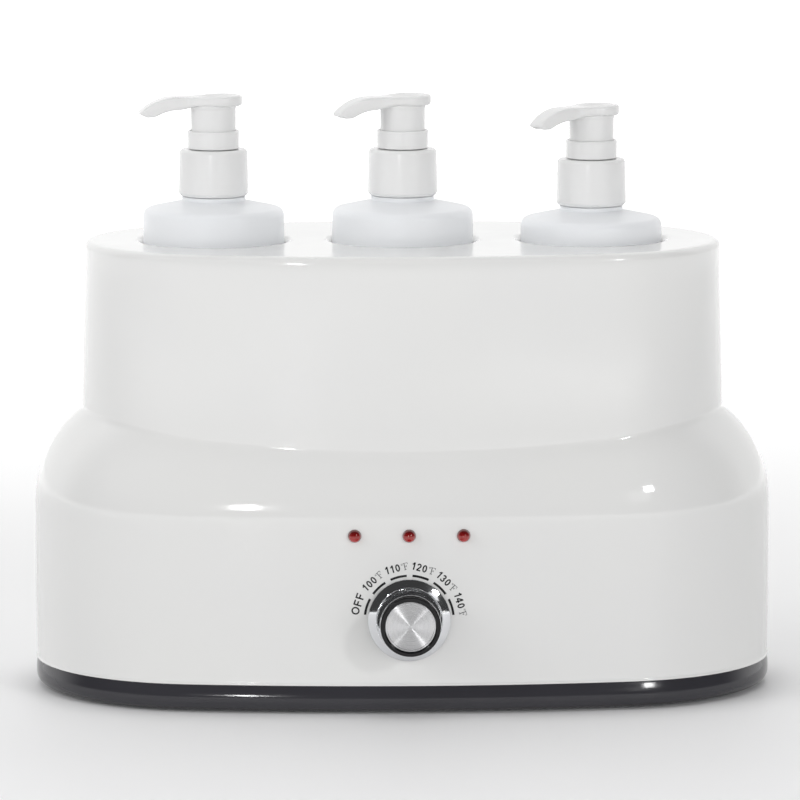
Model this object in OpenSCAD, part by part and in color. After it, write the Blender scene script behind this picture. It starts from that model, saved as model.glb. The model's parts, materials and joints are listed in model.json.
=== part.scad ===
// Massage oil warmer: a two-tier moulded housing with three heated wells, each holding a pump bottle.
// Millimetres, +Z up, table at z = 0, front towards -Y, origin under the middle of the bounding box.

/* [Housing] */
// Width of the lower housing
body_w = 310; // [302:1:324]
// Depth of the lower housing
body_d = 160; // [154:1:170]
// Step in from the lower housing's skin to the upper tier, at each end
side_step = 20; // [15:0.5:23]
// Step in from the lower housing's skin to the upper tier, at front and rear
front_step = 9; // [7:0.5:12]
// Draft of the upper tier's wall, in degrees
tier_draft = 1.2; // [0.6:0.1:1.8]
// Height of the deck above the table
deck_z = 188.4; // [184:0.1:196]
// Height at which the shoulder starts to round over
shoulder_z = 78.5; // [76:0.5:84]
// Radius of the shoulder
shoulder_r = 48.5; // [44:0.5:52]
// Thickness of the housing's wall
wall = 2.5; // [2.1:0.1:3]
// Thickness of the deck
deck_t = 4; // [3.5:0.1:5]
// Radius of the deck's outer edge
deck_edge_r = 3; // [1.5:0.1:3.3]
// Radius of the edge round each bottle hole
hole_edge_r = 3; // [1.5:0.1:3.3]

/* [Base] */
// Height of the top of the dark base band
tray_top_z = 12; // [10:0.5:15]
// Thickness of the tray's floor
tray_floor_t = 2.5; // [2:0.1:3.5]
// Radius of the tray's lower edge
tray_edge_r = 4; // [2:0.1:5]
// How far the band stands inside the housing's skin
tray_inset = 0.4; // [0.1:0.1:1]
// Height of the lip that locates the housing
tray_lip_h = 5; // [3:0.5:8]
// Thickness of that lip
tray_lip_t = 1.6; // [1.2:0.1:2.4]
// Height at which the housing's bosses meet the tray's posts
post_top_z = 20; // [19:0.5:24]
// Height of the screw heads' seat inside the posts
screw_seat_z = 10; // [8:0.5:13]
// Height of the feet below the tray
foot_h = 1.5; // [1:0.1:2.5]
// Diameter of the feet
foot_d = 16; // [12:0.5:20]
// Foot distance from the middle, sideways
foot_x = 105; // [90:1:112]
// Foot distance from the middle, front to back
foot_y = 46; // [38:1:50]
// Diameter of the base screws
screw_d = 3.9; // [3:0.1:4.2]
// Diameter of the bosses inside the housing
boss_d = 9; // [8:0.5:10]
// Distance of each boss in from the housing's skin
boss_in = 13; // [12:0.5:14]
// Direction of each boss from its end of the plan, in degrees
boss_angle = 35; // [28:1:42]
// Width of one ventilation slot
slot_w = 4; // [3:0.5:5]
// Length of one ventilation slot
slot_len = 36; // [24:1:44]
// Distance from slot to slot
slot_pitch = 13; // [11:0.5:15]
// Length of the terminal block
block_len = 42; // [30:1:50]
// Width of the terminal block
block_w = 16; // [12:1:20]
// Height of the terminal block
block_h = 13; // [10:1:16]
// Distance of the terminal block in from the housing's rear
block_in = 38; // [30:1:44]

/* [Wells] */
// Distance from bottle to bottle
bottle_pitch = 79.3; // [78:0.1:82]
// Depth of the left and middle wells below the deck
well_depth = 94.3; // [88:0.1:96]
// Extra depth of the right well, so that its bottle stands lower
right_extra = 4.5; // [0:0.5:6]
// Thickness of a well's wall
well_wall = 1.2; // [1:0.1:1.8]
// Thickness of a well's floor
well_floor_t = 1.6; // [1.2:0.1:2.4]
// Thickness of the flange and ears that carry a well
ear_t = 1.5; // [1:0.1:2.2]
// Length of the bosses under the deck
well_boss_h = 6; // [4:0.5:9]
// Diameter of the bosses under the deck
well_boss_d = 7; // [6:0.5:8]
// Diameter of the well screws
well_screw_d = 2.6; // [2:0.1:3]
// Height of a band heater
heater_h = 38; // [28:1:46]
// Thickness of a band heater
heater_t = 2; // [1.5:0.1:3]
// Height of a heater's lower edge above the well's floor
heater_lift = 10; // [6:1:18]
// Opening between the ends of a band heater, in degrees
heater_gap_angle = 24; // [16:1:34]
// Diameter of the safety cut-out
cutoff_d = 16; // [13:0.5:19]
// Height of the safety cut-out
cutoff_h = 6; // [5:0.5:9]

/* [Bottles] */
// Diameter of a bottle
bottle_d = 59.2; // [58:0.1:60]
// Wall of a bottle
bottle_wall = 1.2; // [0.9:0.1:1.6]
// Height of a bottle from its foot to the root of its neck
bottle_h = 110.8; // [108:0.1:118]
// Slope of a bottle's shoulder, in degrees
bottle_slope = 12; // [8:0.5:16]
// Radius of a bottle's shoulder edge
bottle_edge_r = 3.5; // [2.5:0.1:5]
// Radius of a bottle's foot edge
bottle_foot_r = 4; // [2.5:0.1:6]
// Diameter of the bead at the root of the neck
neck_d = 26.6; // [26.2:0.1:27.2]
// Diameter of the neck inside the collar
finish_d = 25.2; // [24.8:0.1:25.4]
// Wall of the neck
neck_wall = 1.6; // [1.3:0.1:2]
// Height of the neck
neck_h = 17.9; // [17.7:0.1:20]

/* [Pumps] */
// Diameter of the collar at its foot
collar_d = 29.4; // [28.8:0.1:31]
// Narrowing of the collar towards its top, on the diameter
collar_taper = 1; // [0:0.1:1.6]
// Height of the collar
collar_h = 19.4; // [18:0.1:19.6]
// Thickness of the collar's top
collar_top_t = 1.5; // [1.2:0.1:2]
// Radius of the collar's upper edge
collar_edge_r = 1.6; // [0.8:0.1:1.9]
// Diameter of the pump body's guide above the collar
guide_d = 16; // [15:0.1:16.4]
// Thickness of the gasket on the neck
gasket_t = 1; // [0.8:0.1:1.5]
// Thickness of the pump body's flange
flange_t = 1.2; // [1:0.1:1.6]
// Diameter of the lock ring
ring_d = 21.5; // [21.3:0.1:23]
// Height of the lock ring
ring_h = 7.6; // [7:0.1:9]
// Thickness of the web across the lock ring
ring_web_t = 1.5; // [1:0.1:2]
// Depth of the lock ring's socket on the guide
ring_socket = 1.8; // [1.2:0.1:2.4]
// Chamfer round the lock ring's top
ring_chamfer = 0.6; // [0.2:0.1:0.7]
// Diameter of the head's round lower part
actuator_d = 18.8; // [18:0.1:19]
// Wall of the head's round lower part
actuator_wall = 1.6; // [1.2:0.1:1.8]
// Height of the head's round lower part above the lock ring
actuator_h = 10.3; // [9.8:0.1:13]
// Thickness of the spout and pad
spout_t = 4.4; // [4:0.1:5.4]
// Reach of the spout from the pump's axis
spout_reach = 32.6; // [29:0.1:36]
// Radius of the spout's downward curve
spout_bend_r = 70; // [58:1:90]
// Width of the spout at its tip
spout_tip_w = 7.2; // [6:0.1:8.4]
// Width of the spout where it leaves the pad
spout_root_w = 10.6; // [9:0.1:12]
// Width of the thumb pad
pad_w = 19.6; // [18.8:0.1:22]
// Reach of the thumb pad behind the pump's axis
pad_reach = 12.2; // [11:0.1:14]
// Depth of the thumb pad's dish
pad_dish = 1.1; // [0.5:0.1:1.6]
// Bore of the spout
spout_bore_d = 2.8; // [2:0.1:3.2]
// Stroke of the pump
stroke = 16; // [12:0.5:17]
// Diameter of the stem
stem_d = 7; // [6.4:0.1:7.4]
// Bore of the stem
stem_bore_d = 3.6; // [3:0.1:4]
// Diameter of the pump chamber's bore
chamber_d = 11; // [10.6:0.1:11.6]
// Wall of the pump chamber
chamber_wall = 1.2; // [1:0.1:1.6]
// Height of the piston
piston_h = 6; // [5:0.5:8]
// Length of the spring with the head locked down
spring_rest = 14; // [12:0.5:18]
// Wire of the spring
spring_wire = 1; // [0.8:0.1:1.1]
// Turns of the spring
spring_turns = 6; // [4:1:7]
// Diameter of the valve ball
ball_d = 4.4; // [4:0.1:5]
// Diameter of the dip tube
tube_d = 5.2; // [4.8:0.1:6]
// Wall of the dip tube
tube_wall = 0.7; // [0.5:0.1:0.9]
// Depth of the dip tube's socket
tube_socket = 8; // [6:0.5:10]
// Gap between the dip tube's end and the bottle's floor
tube_lift = 3; // [2:0.5:8]
// Turn of the left spout towards the front, in degrees
yaw_left = 8; // [0:1:90]
// Turn of the middle spout towards the front, in degrees
yaw_centre = 26; // [0:1:90]
// Turn of the right spout towards the front, in degrees
yaw_right = 37; // [0:1:90]

/* [Controls] */
// Height of the knob's axis
knob_z = 39.8; // [36:0.1:44]
// Diameter of the knob's skirt
knob_d = 34; // [31:0.5:38]
// Diameter of the knob's grip at its foot
grip_foot_d = 27.8; // [26.6:0.1:29]
// Diameter of the knob's grip at its front
grip_d = 25.4; // [25:0.1:26.4]
// Diameter of the black ring
knob_ring_d = 24.8; // [24:0.1:25]
// Width of the black ring
knob_ring_w = 1.9; // [1.4:0.1:2.4]
// Height of the knob
knob_h = 17.2; // [16.6:0.1:20]
// Height of the black ring
knob_ring_h = 3.2; // [2.8:0.1:3.6]
// Thickness of the spun disc
knob_face_t = 1.2; // [0.8:0.1:1.6]
// Depth of the spun disc behind the black ring's front
knob_face_in = 0.7; // [0.3:0.1:1]
// Height of the skirt's straight edge
skirt_edge_h = 1.2; // [0.8:0.1:2]
// Height of the skirt's cone
skirt_cone_h = 5; // [4:0.1:6]
// Gap between the knob and the housing
knob_gap = 0.8; // [0.4:0.1:1.5]
// Diameter of the thermostat's spindle
spindle_d = 6; // [5:0.1:6.4]
// Depth of the flat on the spindle
spindle_flat = 1.4; // [0.8:0.1:1.8]
// Diameter of the thermostat's bushing
bushing_d = 9.5; // [9:0.1:10.5]
// How far the bushing stands out of the housing
bushing_out = 6.2; // [5:0.1:6.8]
// Width of the thermostat's case
thermostat_w = 30; // [26:1:36]
// Height of the thermostat's case
thermostat_h = 30; // [24:1:32]
// Depth of the thermostat's case
thermostat_t = 16; // [12:1:22]
// Width across the flats of the thermostat's nut
nut_flats = 13; // [12.5:0.5:14]
// Thickness of the thermostat's nut
nut_t = 2.5; // [2:0.1:3.2]
// Diameter of a lamp lens
lamp_d = 5.3; // [4.6:0.1:6]
// Distance from lamp to lamp
lamp_pitch = 22.4; // [20:0.1:26]
// Height of the lamps
lamp_z = 74.6; // [70:0.1:74.8]
// Distance of the lamp board behind the wall
lamp_stand = 7; // [5:0.5:10]
// Height of the lamp board
board_h = 13; // [11:0.5:15]
// Thickness of the lamp board
board_t = 1.6; // [1:0.1:2.4]
// Height of the cord gland's axis
gland_z = 32; // [28:0.5:40]
// Bore of the cord gland
gland_bore_d = 7.2; // [6:0.1:8.4]
// Diameter of the cord gland in the wall
gland_d = 12.6; // [11.6:0.1:14]
// Diameter of the cord gland's flanges
gland_flange_d = 18; // [16:0.5:21]
// Thickness of each of the gland's flanges
gland_flange_t = 3; // [2:0.1:4]

/* [Fits] */
// Clearance between pieces that lift or turn past each other
slip = 0.3; // [0.25:0.05:0.4]
// Clearance of a running fit, on the radius
running = 0.05; // [0.03:0.01:0.09]
// Clearance between a bottle and its well, on the radius
well_gap = 0.5; // [0.4:0.1:0.9]
// Clearance between the tray's lip and the housing
lip_gap = 0.2; // [0.1:0.05:0.4]
// Clearance round a fixed piece in its hole, on the radius
seat_gap = 0.1; // [0.05:0.01:0.2]

/* [Hidden] */
$fa = 4;
$fs = 0.6;
// Overlap of neighbouring arcs of a sweep
seam_lap = 0.00001;
sides = ["left", "centre", "right"];
front_y = -body_d/2;
front_in_y = front_y + wall;
tray_z = foot_h;
foot_recess = 0.6;
// How far cutting shapes run past what they cut
cut = 1;
// How far a rounded edge's centre stands out, so that the round crosses both faces at a clear angle
edge_lift = 0.05;

// Plan of each tier: a four-arc oval whose arc centres lie on a right-angled triangle with whole-number
// sides, so that face arcs and end arcs run into each other exactly. A slimmer one gives flatter faces.
body_triangle = [13, 84, 85];
tier_triangle = [9, 40, 41];
// An oval as [half depth, end radius, end centre, face radius, face centre]
function oval(w, d, side) =
    let (unit = round(50*(w - d)/(side[0] - 1))/100, end_r = d/2 - unit)
    [d/2, end_r, unit*side[0], end_r + unit*side[2], unit*side[1]];
body_oval = oval(body_w, body_d, body_triangle);
tier_oval = oval(body_w - 2*side_step, body_d - 2*front_step, tier_triangle);
core_r = 14;
core_lap = 4;
function sweep_in(o) = o[1] - core_r;
// Set-back of the lower front face at a distance x from its middle
function sag(x) = body_oval[3] - sqrt(body_oval[3]*body_oval[3] - x*x);

// Shoulder: an arc, then a straight slope up to the tier. The slope is the long side of a 3-4-5 triangle,
// so that arc and slope meet exactly.
shoulder_reach = max(side_step, front_step) + wall + 3;
bend_cos = 0.6;
bend_sin = 0.8;
slope_rise = bend_cos/bend_sin;
crease_z = shoulder_z + shoulder_r*bend_sin + slope_rise*(side_step - shoulder_r*(1 - bend_cos));
// The tier's wall stands upright past the crease and leans in above it
draft_z = crease_z + 2;
function tier_x(z) = (draft_z - z)*tan(tier_draft);

// Bosses, as distances from the middle of the plan
boss_x = body_oval[2] + (body_oval[1] - boss_in)*cos(boss_angle);
boss_y = (body_oval[1] - boss_in)*sin(boss_angle);
boss_rib_t = 2;
screw_head_d = 1.9*screw_d;
screw_head_h = 0.6*screw_d;
screw_len = post_top_z - screw_seat_z + 10;

// Wells
well_r = bottle_d/2 + well_gap;
hole_r = well_r + slip;
well_out_r = well_r + well_wall;
ear_top_z = deck_z - deck_t - well_boss_h;
ear_reach = well_out_r + well_boss_d/2 + 1.5;
ear_r = well_boss_d/2 + 1.2;
ear_angles = [90, 210, 330];
well_screw_head_d = 1.9*well_screw_d;
well_screw_head_h = 0.7*well_screw_d;
extra = [0, 0, right_extra];
function well_x(i) = (i - 1)*bottle_pitch;
function well_floor_z(i) = deck_z - well_depth - extra[i];

// Bottle and pump heights, measured from the bottle's foot
neck_r = neck_d/2;
finish_r = finish_d/2;
neck_bore_r = finish_r - neck_wall;
neck_top = bottle_h + neck_h;
flange_z = neck_top + gasket_t;
flange_top = flange_z + flange_t;
collar_top = flange_top + collar_top_t;
collar_foot = collar_top - collar_h;
ring_foot = collar_top + slip;
ring_top = ring_foot + ring_h;
guide_top = ring_foot + ring_socket;
web_top = guide_top + ring_web_t;
skirt_foot = web_top + slip;
head_foot = ring_top + actuator_h;
head_top = head_foot + spout_t;
stem_top = head_foot - 2.4;
piston_z = guide_top - 1 - stroke - piston_h;
spring_z = piston_z - spring_rest;
chamber_r = chamber_d/2;
chamber_out_r = chamber_r + chamber_wall;
cage_h = ball_d + 1.6;
seat_z = spring_z - cage_h;
seat_r = 0.34*ball_d;
seat_t = 1;
socket_top = seat_z - seat_t;
socket_foot = socket_top - tube_socket;
tube_foot = bottle_wall + tube_lift;
yaws = [yaw_left, yaw_centre, yaw_right];

// Head: the spout's arc starts a little in front of the axis
spout_apex = 6;
spout_out_r = spout_bend_r + spout_t/2;
spout_in_r = spout_bend_r - spout_t/2;
spout_angle = asin((spout_reach - spout_apex)/spout_out_r);
dish_r = ((pad_reach - 1)*(pad_reach - 1)/4 + pad_dish*pad_dish)/(2*pad_dish);

// Controls
knob_y = front_y - knob_gap;
knob_hub_h = bushing_out + 1;
ring_seat_h = knob_h - knob_ring_h;
face_r = knob_ring_d/2 - knob_ring_w - running;
face_top_h = knob_h - knob_face_in;
face_seat_h = face_top_h - knob_face_t;
spindle_in = 9;
spindle_end_gap = 0.5;
nut_r = nut_flats/sqrt(3);
thermostat_y = front_in_y + sag(thermostat_w/2) + seat_gap;
board_y = front_in_y + lamp_stand;
board_post_x = lamp_pitch + 12;
board_post_d = 6;
board_pin_d = 2.6;
lamp_flange_t = 1.2;
lamp_flange_d = lamp_d + 1.6;
gland_len = 2*gland_flange_t + wall + 2*seat_gap;

// Shift that puts the origin under the middle of the bounding box
front_reach = -knob_y + knob_h;
rear_reach = body_d/2 + seat_gap + gland_flange_t;
body_y = (front_reach - rear_reach)/2;

white = [0.93, 0.93, 0.92];
frosted = [0.90, 0.92, 0.95, 0.8];
charcoal = [0.23, 0.23, 0.25];
black = [0.06, 0.06, 0.07];
alloy = [0.78, 0.79, 0.80];
steel = [0.62, 0.63, 0.65];
bottle_pieces = ["bottle", "pump_collar", "lock_ring", "pump_body", "pump_gasket", "dip_tube",
    "valve_ball", "pump_spring", "pump_stem", "pump_head"];
single_pieces = ["housing", "base_tray", "feet", "base_screws", "well_screws", "thermostat",
    "thermostat_nut", "thermal_cutoff", "terminal_block", "lamp_board", "cord_gland", "knob_skirt",
    "knob_ring", "knob_face", "thermostat_shaft"];
repeated_pieces = concat(["well", "heater", "lamp"], bottle_pieces);

// Shapes that several pieces share

// A slice of a disc between two directions less than a right angle and a bit apart
module slice(r, from, to) {
    middle = (from + to)/2;
    tip = 3*r*[cos(middle), sin(middle)];
    intersection() {
        circle(r);
        polygon([[0, 0], 2*r*[cos(from), sin(from)], tip, 2*r*[cos(to), sin(to)]]);
    }
}

// Sweeps a section round an oval: its x is the distance out from the oval, its y the height.
// Each arc is swept a little too far and trimmed where it runs into the next one, with a hair of overlap.
module oval_sweep(o) {
    tall = 2*deck_z;
    end_x = o[2];
    far = o[4];
    turn = atan(end_x/far) + 1;
    for (s = [0, 1]) mirror([0, s, 0]) intersection() {
        translate([0, far, 0]) rotate_extrude(angle = 2*turn, start = 270 - turn)
            translate([o[3], 0]) children();
        linear_extrude(tall) polygon([[0, far], [2*end_x, -far], [-2*end_x, -far]]);
    }
    for (s = [0, 1]) mirror([s, 0, 0]) intersection() {
        translate([end_x, 0, 0]) rotate_extrude(angle = 180, start = -90) translate([o[1], 0]) children();
        linear_extrude(tall)
            polygon([[end_x - seam_lap, 0], [2*end_x - seam_lap, -far], [2*far, -far], [2*far, far],
                [2*end_x - seam_lap, far]]);
    }
}

// Fills the middle of a swept oval between two heights
module oval_core(o, z0, z1) {
    translate([0, 0, z0]) linear_extrude(z1 - z0) {
        square([2*o[2], 2*(o[0] - sweep_in(o) + core_lap)], center = true);
        for (s = [-1, 1]) translate([s*o[2], 0]) circle(core_r + core_lap);
    }
}

// Puts children at both ends and both sides of the plan
module four_ways() {
    for (sx = [0, 1]) for (sy = [0, 1]) mirror([sx, 0, 0]) mirror([0, sy, 0]) children();
}

// Turns a piece that was drawn upwards to point out of the front, or out of the rear
module to_front(x, y, z) { translate([x, y, z]) rotate([90, 0, 0]) children(); }
module to_rear(x, y, z) { translate([x, y, z]) rotate([-90, 0, 0]) children(); }

// A flat ring section from an inner to an outer radius
module band(r0, r1, z0, z1) { translate([r0, z0]) square([r1 - r0, z1 - z0]); }

// Housing

// Section of the lower housing at a depth t inside its skin, from the height z0 up
module lower_section(t, z0) {
    r = shoulder_r - t;
    bend_x = r*bend_cos - shoulder_r;
    bend_z = shoulder_z + r*bend_sin;
    top_z = bend_z + slope_rise*(bend_x + shoulder_reach);
    in_x = -sweep_in(body_oval);
    translate([in_x, z0]) square([-t - in_x, shoulder_z - z0]);
    intersection() {
        translate([-shoulder_r, shoulder_z]) circle(r);
        translate([bend_x, shoulder_z]) square(r);
    }
    polygon([[in_x, shoulder_z], [bend_x, shoulder_z], [bend_x, bend_z], [-shoulder_reach, top_z],
        [in_x, top_z]]);
}

module lower_solid(t, z0) {
    oval_sweep(body_oval) lower_section(t, z0);
    oval_core(body_oval, z0, shoulder_z + core_lap);
}

// Section of the upper tier at a depth t inside its skin, up to the height z1, with a rounded edge
module tier_section(t, z1, edge_r) {
    in_x = -sweep_in(tier_oval);
    edge_z = z1 - edge_r + edge_lift;
    edge_x = tier_x(edge_z) - t - edge_r + edge_lift;
    difference() {
        polygon([[in_x, shoulder_z], [-t, shoulder_z], [-t, draft_z], [tier_x(z1) - t, z1], [in_x, z1]]);
        difference() {
            band(edge_x, edge_x + 2*edge_r, edge_z, z1 + cut);
            translate([edge_x, edge_z]) circle(edge_r);
        }
    }
}

module tier_solid(t, z1, edge_r) {
    oval_sweep(tier_oval) tier_section(t, z1, edge_r);
    oval_core(tier_oval, shoulder_z, z1);
}

// What stays standing inside the housing: base bosses with ribs, deck bosses and lamp board posts
module inner_bosses() {
    four_ways() translate([boss_x, boss_y, post_top_z]) {
        cylinder(d = boss_d, h = deck_z - post_top_z);
        rotate([0, 0, boss_angle]) translate([0, -boss_rib_t/2, boss_d])
            cube([boss_in + wall, boss_rib_t, deck_z - post_top_z - boss_d]);
    }
    for (i = [0:2]) for (a = ear_angles)
        translate([well_x(i) + ear_reach*cos(a), ear_reach*sin(a), ear_top_z])
            cylinder(d = well_boss_d, h = well_boss_h + cut);
    for (s = [-1, 1]) to_front(s*board_post_x, board_y, lamp_z)
        cylinder(d = board_post_d, h = lamp_stand + wall);
    for (s = [-1, 1]) to_front(s*board_post_x, board_y + board_t + cut, lamp_z)
        cylinder(d = board_pin_d, h = board_t + 2*cut);
}

// A bottle hole with a rounded upper edge
module bottle_hole() {
    edge_z = deck_z - hole_edge_r + edge_lift;
    rotate_extrude() {
        band(0, hole_r, deck_z - deck_t - cut, deck_z + cut);
        difference() {
            band(hole_r, hole_r + hole_edge_r, edge_z, deck_z + cut);
            translate([hole_r + hole_edge_r, edge_z]) circle(hole_edge_r);
        }
    }
}

module housing() {
    color(white) difference() {
        union() {
            lower_solid(0, tray_top_z);
            tier_solid(0, deck_z, deck_edge_r);
        }
        difference() {
            union() {
                lower_solid(wall, tray_top_z - cut);
                tier_solid(wall, deck_z - deck_t, deck_edge_r/2);
            }
            inner_bosses();
        }
        for (i = [0:2]) translate([well_x(i), 0, 0]) bottle_hole();
        for (i = [0:2]) to_front((i - 1)*lamp_pitch, board_y, lamp_z)
            cylinder(d = lamp_d + 2*seat_gap, h = lamp_stand + 2*wall);
        to_front(0, board_y, knob_z) cylinder(d = bushing_d + 2*seat_gap, h = lamp_stand + 2*wall);
        to_rear(0, body_d/2 - 2*wall, gland_z) cylinder(d = gland_d + 2*seat_gap, h = 3*wall);
        four_ways() translate([boss_x, boss_y, post_top_z - cut])
            cylinder(d = screw_d + 2*running, h = screw_len);
        for (i = [0:2]) for (a = ear_angles)
            translate([well_x(i) + ear_reach*cos(a), ear_reach*sin(a), ear_top_z - cut])
                cylinder(d = well_screw_d + 2*running, h = well_boss_h + cut);
    }
}

// Base

// Section of the tray: rounded rim, locating lip and the floor's outer strip
module tray_section() {
    in_x = -sweep_in(body_oval);
    lip_x = -wall - lip_gap;
    edge_x = -tray_inset - tray_edge_r;
    edge_z = tray_z + tray_edge_r;
    band(lip_x - tray_lip_t, lip_x, tray_z, tray_top_z + tray_lip_h);
    band(lip_x - tray_lip_t, -tray_inset, edge_z, tray_top_z);
    band(in_x, edge_x, tray_z, tray_z + tray_floor_t);
    band(lip_x - tray_lip_t - tray_edge_r, edge_x, tray_z, edge_z);
    translate([edge_x, edge_z]) slice(tray_edge_r, 270, 360);
}

module base_tray() {
    color(charcoal) difference() {
        union() {
            oval_sweep(body_oval) tray_section();
            oval_core(body_oval, tray_z, tray_z + tray_floor_t);
            four_ways() translate([boss_x, boss_y, tray_z])
                cylinder(d = boss_d + 2, h = post_top_z - tray_z);
        }
        four_ways() translate([boss_x, boss_y, tray_z - cut]) {
            cylinder(d = screw_d + 4*seat_gap, h = post_top_z);
            cylinder(d = screw_head_d + 4*seat_gap, h = screw_seat_z - tray_z + cut);
        }
        four_ways() translate([foot_x, foot_y, tray_z - cut])
            cylinder(d = foot_d + 2*seat_gap, h = foot_recess + cut);
        for (k = [-3:3]) translate([k*slot_pitch - slot_w/2, -slot_len/2 - foot_d/2, tray_z - cut])
            cube([slot_w, slot_len, tray_floor_t + 2*cut]);
    }
}

module feet() {
    edge = 0.6;
    color(black) four_ways() translate([foot_x, foot_y, 0]) rotate_extrude() {
        band(0, foot_d/2 - edge, 0, foot_h + foot_recess);
        band(0, foot_d/2, edge, foot_h + foot_recess);
        translate([foot_d/2 - edge, edge]) slice(edge, 270, 360);
    }
}

// A pan-head screw pointing up, with the underside of its head at z = 0
module screw(d, len, head_d, head_h) {
    cylinder(d = d, h = len);
    difference() {
        translate([0, 0, -head_h]) cylinder(d = head_d, h = head_h);
        translate([-head_d/3, -d/10, -head_h - cut]) cube([2*head_d/3, d/5, head_h/2 + cut]);
        translate([-d/10, -head_d/3, -head_h - cut]) cube([d/5, 2*head_d/3, head_h/2 + cut]);
    }
}

module base_screws() {
    color(steel) four_ways() translate([boss_x, boss_y, screw_seat_z])
        screw(screw_d, screw_len - cut, screw_head_d, screw_head_h);
}

// Wells and heating

module well(i) {
    floor_z = well_floor_z(i);
    foot_r = well_wall + 1.5;
    color(alloy) translate([well_x(i), 0, 0]) difference() {
        union() {
            rotate_extrude() {
                band(0, well_out_r - foot_r, floor_z - well_floor_t, floor_z);
                band(well_r, well_out_r, floor_z - well_floor_t + foot_r, deck_z - deck_t);
                difference() {
                    translate([well_out_r - foot_r, floor_z - well_floor_t + foot_r])
                        slice(foot_r, 270, 360);
                    band(0, well_r, floor_z, floor_z + foot_r);
                }
            }
            difference() {
                union() {
                    translate([0, 0, ear_top_z - ear_t]) cylinder(r = well_out_r + 2.5, h = ear_t);
                    for (a = ear_angles) translate([ear_reach*cos(a), ear_reach*sin(a), ear_top_z - ear_t])
                        cylinder(r = ear_r, h = ear_t);
                }
                translate([0, 0, ear_top_z - ear_t - cut])
                    cylinder(r = (well_r + well_out_r)/2, h = ear_t + 2*cut);
            }
        }
        for (a = ear_angles) translate([ear_reach*cos(a), ear_reach*sin(a), ear_top_z - ear_t - cut])
            cylinder(d = well_screw_d + 4*seat_gap, h = ear_t + 2*cut);
    }
}

module well_screws() {
    color(steel) for (i = [0:2]) for (a = ear_angles)
        translate([well_x(i) + ear_reach*cos(a), ear_reach*sin(a), ear_top_z - ear_t])
            screw(well_screw_d, well_boss_h + ear_t - cut, well_screw_head_d, well_screw_head_h);
}

// A band heater: an open ring with a terminal block over its rear
module heater(i) {
    r = well_out_r + seat_gap;
    block = [14, 5, 12];
    color([0.72, 0.35, 0.20]) translate([well_x(i), 0, well_floor_z(i) + heater_lift]) {
        rotate_extrude(angle = 360 - heater_gap_angle, start = heater_gap_angle/2 - 90)
            band(r, r + heater_t, 0, heater_h);
        translate([-block[0]/2, r + heater_t/2, (heater_h - block[2])/2]) cube(block);
    }
}

// A disc thermostat held against the floor of the middle well
module thermal_cutoff() {
    top_z = well_floor_z(1) - well_floor_t;
    blade = [0.8, 6.4, 8];
    color([0.25, 0.24, 0.24]) translate([0, 0, top_z - cutoff_h]) {
        cylinder(d = cutoff_d, h = cutoff_h);
        for (s = [-1, 1]) translate([s*cutoff_d/4 - blade[0]/2, -blade[1]/2, cut - blade[2]]) cube(blade);
    }
}

module terminal_block() {
    ways = 3;
    pitch = block_len/ways;
    wire_d = block_w/4;
    screw_hole_d = 1.25*wire_d;
    wire_z = block_h/3;
    notch = [block_w/10, block_w + 2*cut, wire_z + cut];
    color([0.90, 0.89, 0.85]) translate([0, body_d/2 - block_in, tray_z + tray_floor_t]) difference() {
        translate([-block_len/2, -block_w/2, 0]) cube([block_len, block_w, block_h]);
        for (k = [0:ways - 1]) translate([(k - 1)*pitch, 0, 0]) {
            translate([0, block_w/2 + cut, wire_z]) rotate([90, 0, 0])
                cylinder(d = wire_d, h = block_w + 2*cut);
            translate([0, 0, wire_z]) cylinder(d = screw_hole_d, h = block_h);
        }
        for (k = [0:ways - 2])
            translate([(k - 0.5)*pitch - notch[0]/2, -notch[1]/2, block_h - wire_z]) cube(notch);
    }
}

// Front controls, each drawn upwards and turned to point out of the front

module thermostat() {
    shell = front_y - bushing_out;
    depth = thermostat_y - shell;
    blade = [0.8, 9, 6.3];
    color([0.86, 0.84, 0.78]) difference() {
        union() {
            translate([-thermostat_w/2, thermostat_y, knob_z - thermostat_h/2])
                cube([thermostat_w, thermostat_t, thermostat_h]);
            to_front(0, thermostat_y + cut, knob_z) cylinder(d = bushing_d, h = depth + cut);
            for (s = [-1, 1])
                translate([s*thermostat_w/4, thermostat_y + thermostat_t - cut, knob_z - blade[2]/2])
                    cube(blade);
        }
        to_front(0, thermostat_y + spindle_in + running, knob_z)
            cylinder(d = spindle_d + 2*running, h = depth + spindle_in + cut);
    }
}

module thermostat_nut() {
    color(steel) to_front(0, front_y, knob_z) linear_extrude(nut_t) difference() {
        circle(nut_r, $fn = 6);
        circle(d = bushing_d + 2*running);
    }
}

// Outline of the spindle, with its flat
module spindle_outline(gap) {
    difference() {
        circle(d = spindle_d + 2*gap);
        translate([-spindle_d, spindle_d/2 - spindle_flat + gap]) square(2*spindle_d);
    }
}

module thermostat_shaft() {
    round_len = thermostat_y + spindle_in - knob_y + knob_hub_h - spindle_end_gap;
    flat_len = face_seat_h - knob_hub_h - 2*spindle_end_gap;
    color(steel) to_front(0, thermostat_y + spindle_in, knob_z) {
        cylinder(d = spindle_d, h = round_len);
        translate([0, 0, round_len - cut]) linear_extrude(flat_len + cut) spindle_outline(0);
    }
}

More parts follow.
